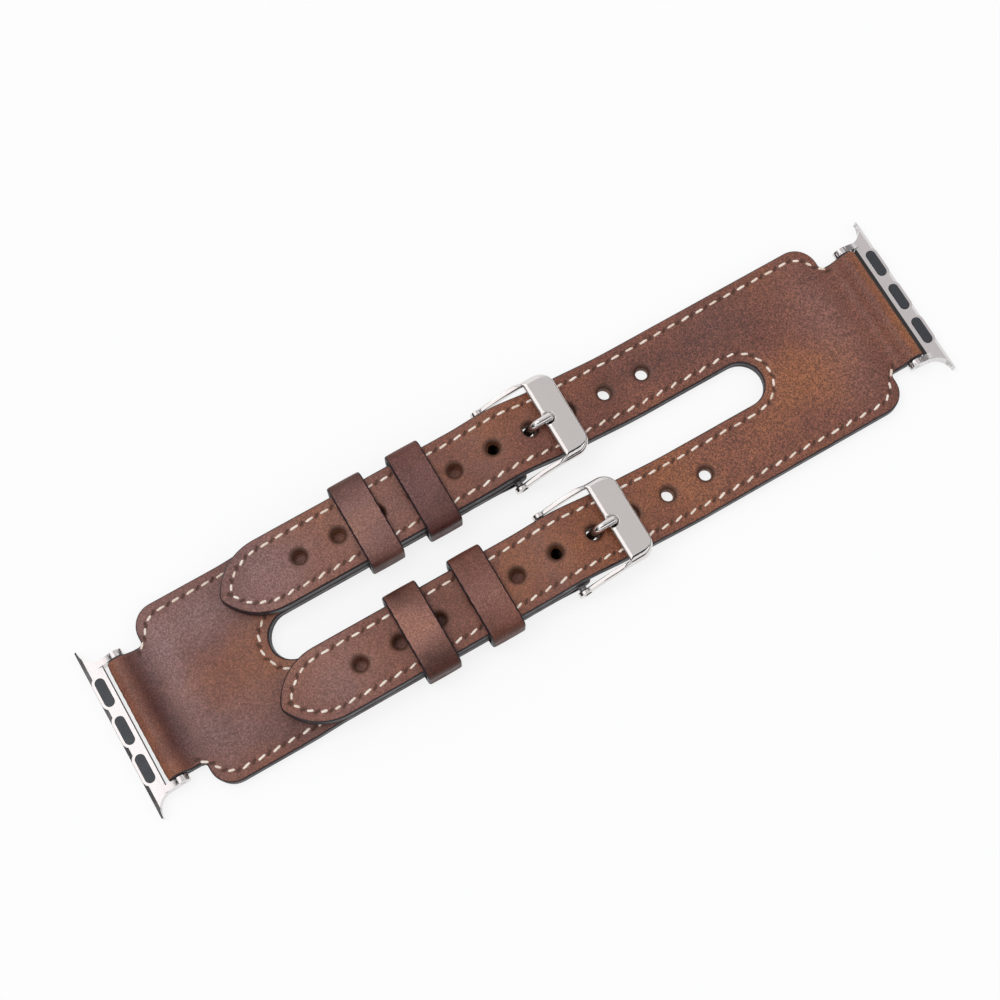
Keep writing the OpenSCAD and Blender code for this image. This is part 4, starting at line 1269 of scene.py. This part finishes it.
def stage_floor():
    """A white floor that takes shadows, and glows for the camera and for shiny pieces."""
    n = new_material("floor_white")
    diffuse = n.add("ShaderNodeBsdfDiffuse", {"Color": (0.96, 0.96, 0.97, 1)})
    glow = n.add("ShaderNodeEmission", {"Color": (1, 1, 1, 1)})
    blend = n.add("ShaderNodeMixShader", {0: n.times(n.seen(), 0.8), 1: diffuse.outputs[0],
                                          2: glow.outputs[0]})
    half = FLOOR_HALF
    stage_piece("floor", n.finish("Material Output", Surface=blend.outputs[0]),
                (-half, -half, half, half, FLOOR_Z))


def shade_mat():
    """A dark-brown sheet on the floor under the holes at the pins: painted shade, where no light
    gets in.
    """
    n = new_material("shaded_floor")
    half = STRAP_W / 2 - 1.5
    stage_piece("shade_mat", n.finish(Base_Color=linear(58, 42, 38), Roughness=1.0),
                *((PIN[0] - PIN_TAIL, y - half, PIN[0] + LOOP_R, y + half, MAT_Z)
                  for y in (STRAP_Y, -STRAP_Y)))


def area_lamp(name, way, size, power):
    """A large soft lamp that faces the band from a direction."""
    data = bpy.data.lights.new(name, "AREA")
    data.shape = "RECTANGLE"
    data.size, data.size_y = size
    data.energy = power
    lamp = linked(name, data)
    lamp.location = Vector(way).normalized() * LAMP_DISTANCE
    lamp.rotation_mode = "QUATERNION"
    lamp.rotation_quaternion = lamp.location.to_track_quat("Z", "Y")


def reflector(name, x_range, y_range, height, level):
    """A card that faces down, at a height in metres, and that only the shine of the pieces
    shows. Its ranges are in X/Z and Y/Z."""
    n = new_material(name)
    glow = n.add("ShaderNodeEmission", {"Color": (1.0, 0.97, 0.965, 1), "Strength": level})
    height /= MM
    (x0, x1), (y0, y1) = x_range, y_range
    stage_piece(name, n.finish("Material Output", Surface=glow.outputs[0]),
                (x0 * height, y1 * height, x1 * height, y0 * height, height),
                hidden_from=("camera", "diffuse", "transmission", "volume_scatter", "shadow"))


def world_light(level):
    """A white world that lights the pieces at a level but looks white."""
    n = Nodes(bpy.data.worlds.new("studio"))
    rays = n.add("ShaderNodeLightPath").outputs
    white = n.math("MAXIMUM", n.seen(), rays["Is Transmission Ray"])
    bpy.context.scene.world = n.finish("Background", Color=(0.985, 0.985, 1.0, 1),
                                       Strength=n.scale(white, 0, 1, level, 1.0))


# The photograph's camera: its turn about Z, its tilt, its distance and its aim
CAMERA_TURN = math.radians(30.17)
CAMERA_TILT = math.radians(16)
CAMERA_DISTANCE = 353.99
CAMERA_AIM = (-4.343, 1.789)
FOCAL_LENGTH = 70.39


def make_camera():
    data = bpy.data.cameras.new("camera")
    data.lens = FOCAL_LENGTH
    data.clip_start, data.clip_end = 0.01, 10
    camera = linked("camera", data)
    ct, st = math.cos(CAMERA_TURN), math.sin(CAMERA_TURN)
    cl, sl = math.cos(CAMERA_TILT), math.sin(CAMERA_TILT)
    right = Vector((ct, -st, 0))
    up = Vector((st * cl, ct * cl, sl))
    back = right.cross(up)
    place = (right * CAMERA_AIM[0] + up * CAMERA_AIM[1] + back * CAMERA_DISTANCE) * MM
    turn = Matrix((right, up, back)).transposed().to_4x4()
    camera.matrix_world = Matrix.Translation(place) @ turn
    bpy.context.scene.camera = camera


stage_floor()
shade_mat()
world_light(0.66)
area_lamp("softbox", (-0.32, 0.25, 0.92), (0.9, 1.2), 8)
area_lamp("fill_box", (0.5, -0.35, 0.8), (0.8, 0.8), 1.5)
reflector("card_white", (-0.98, -0.09), (-0.1, 0.62), 1.2, 1.25)
reflector("card_grey", (-0.085, 0.75), (-0.07, 0.75), 1.2, 0.7)
reflector("card_dark", (-0.6, 0.9), (-0.62, -0.1), 1.1, 0.05)
reflector("card_mid", (-1.45, -1.0), (-0.3, 0.8), 1.1, 0.3)
reflector("card_low", (-14, -1.5), (-1.5, 3.5), 0.3, 0.04)
reflector("card_low_right", (1.2, 14), (-3.5, 3.5), 0.3, 0.3)
reflector("card_low_front", (-3, 3), (-14, -2.2), 0.3, 0.05)
make_camera()
bpy.context.scene.view_settings.view_transform = "Standard"
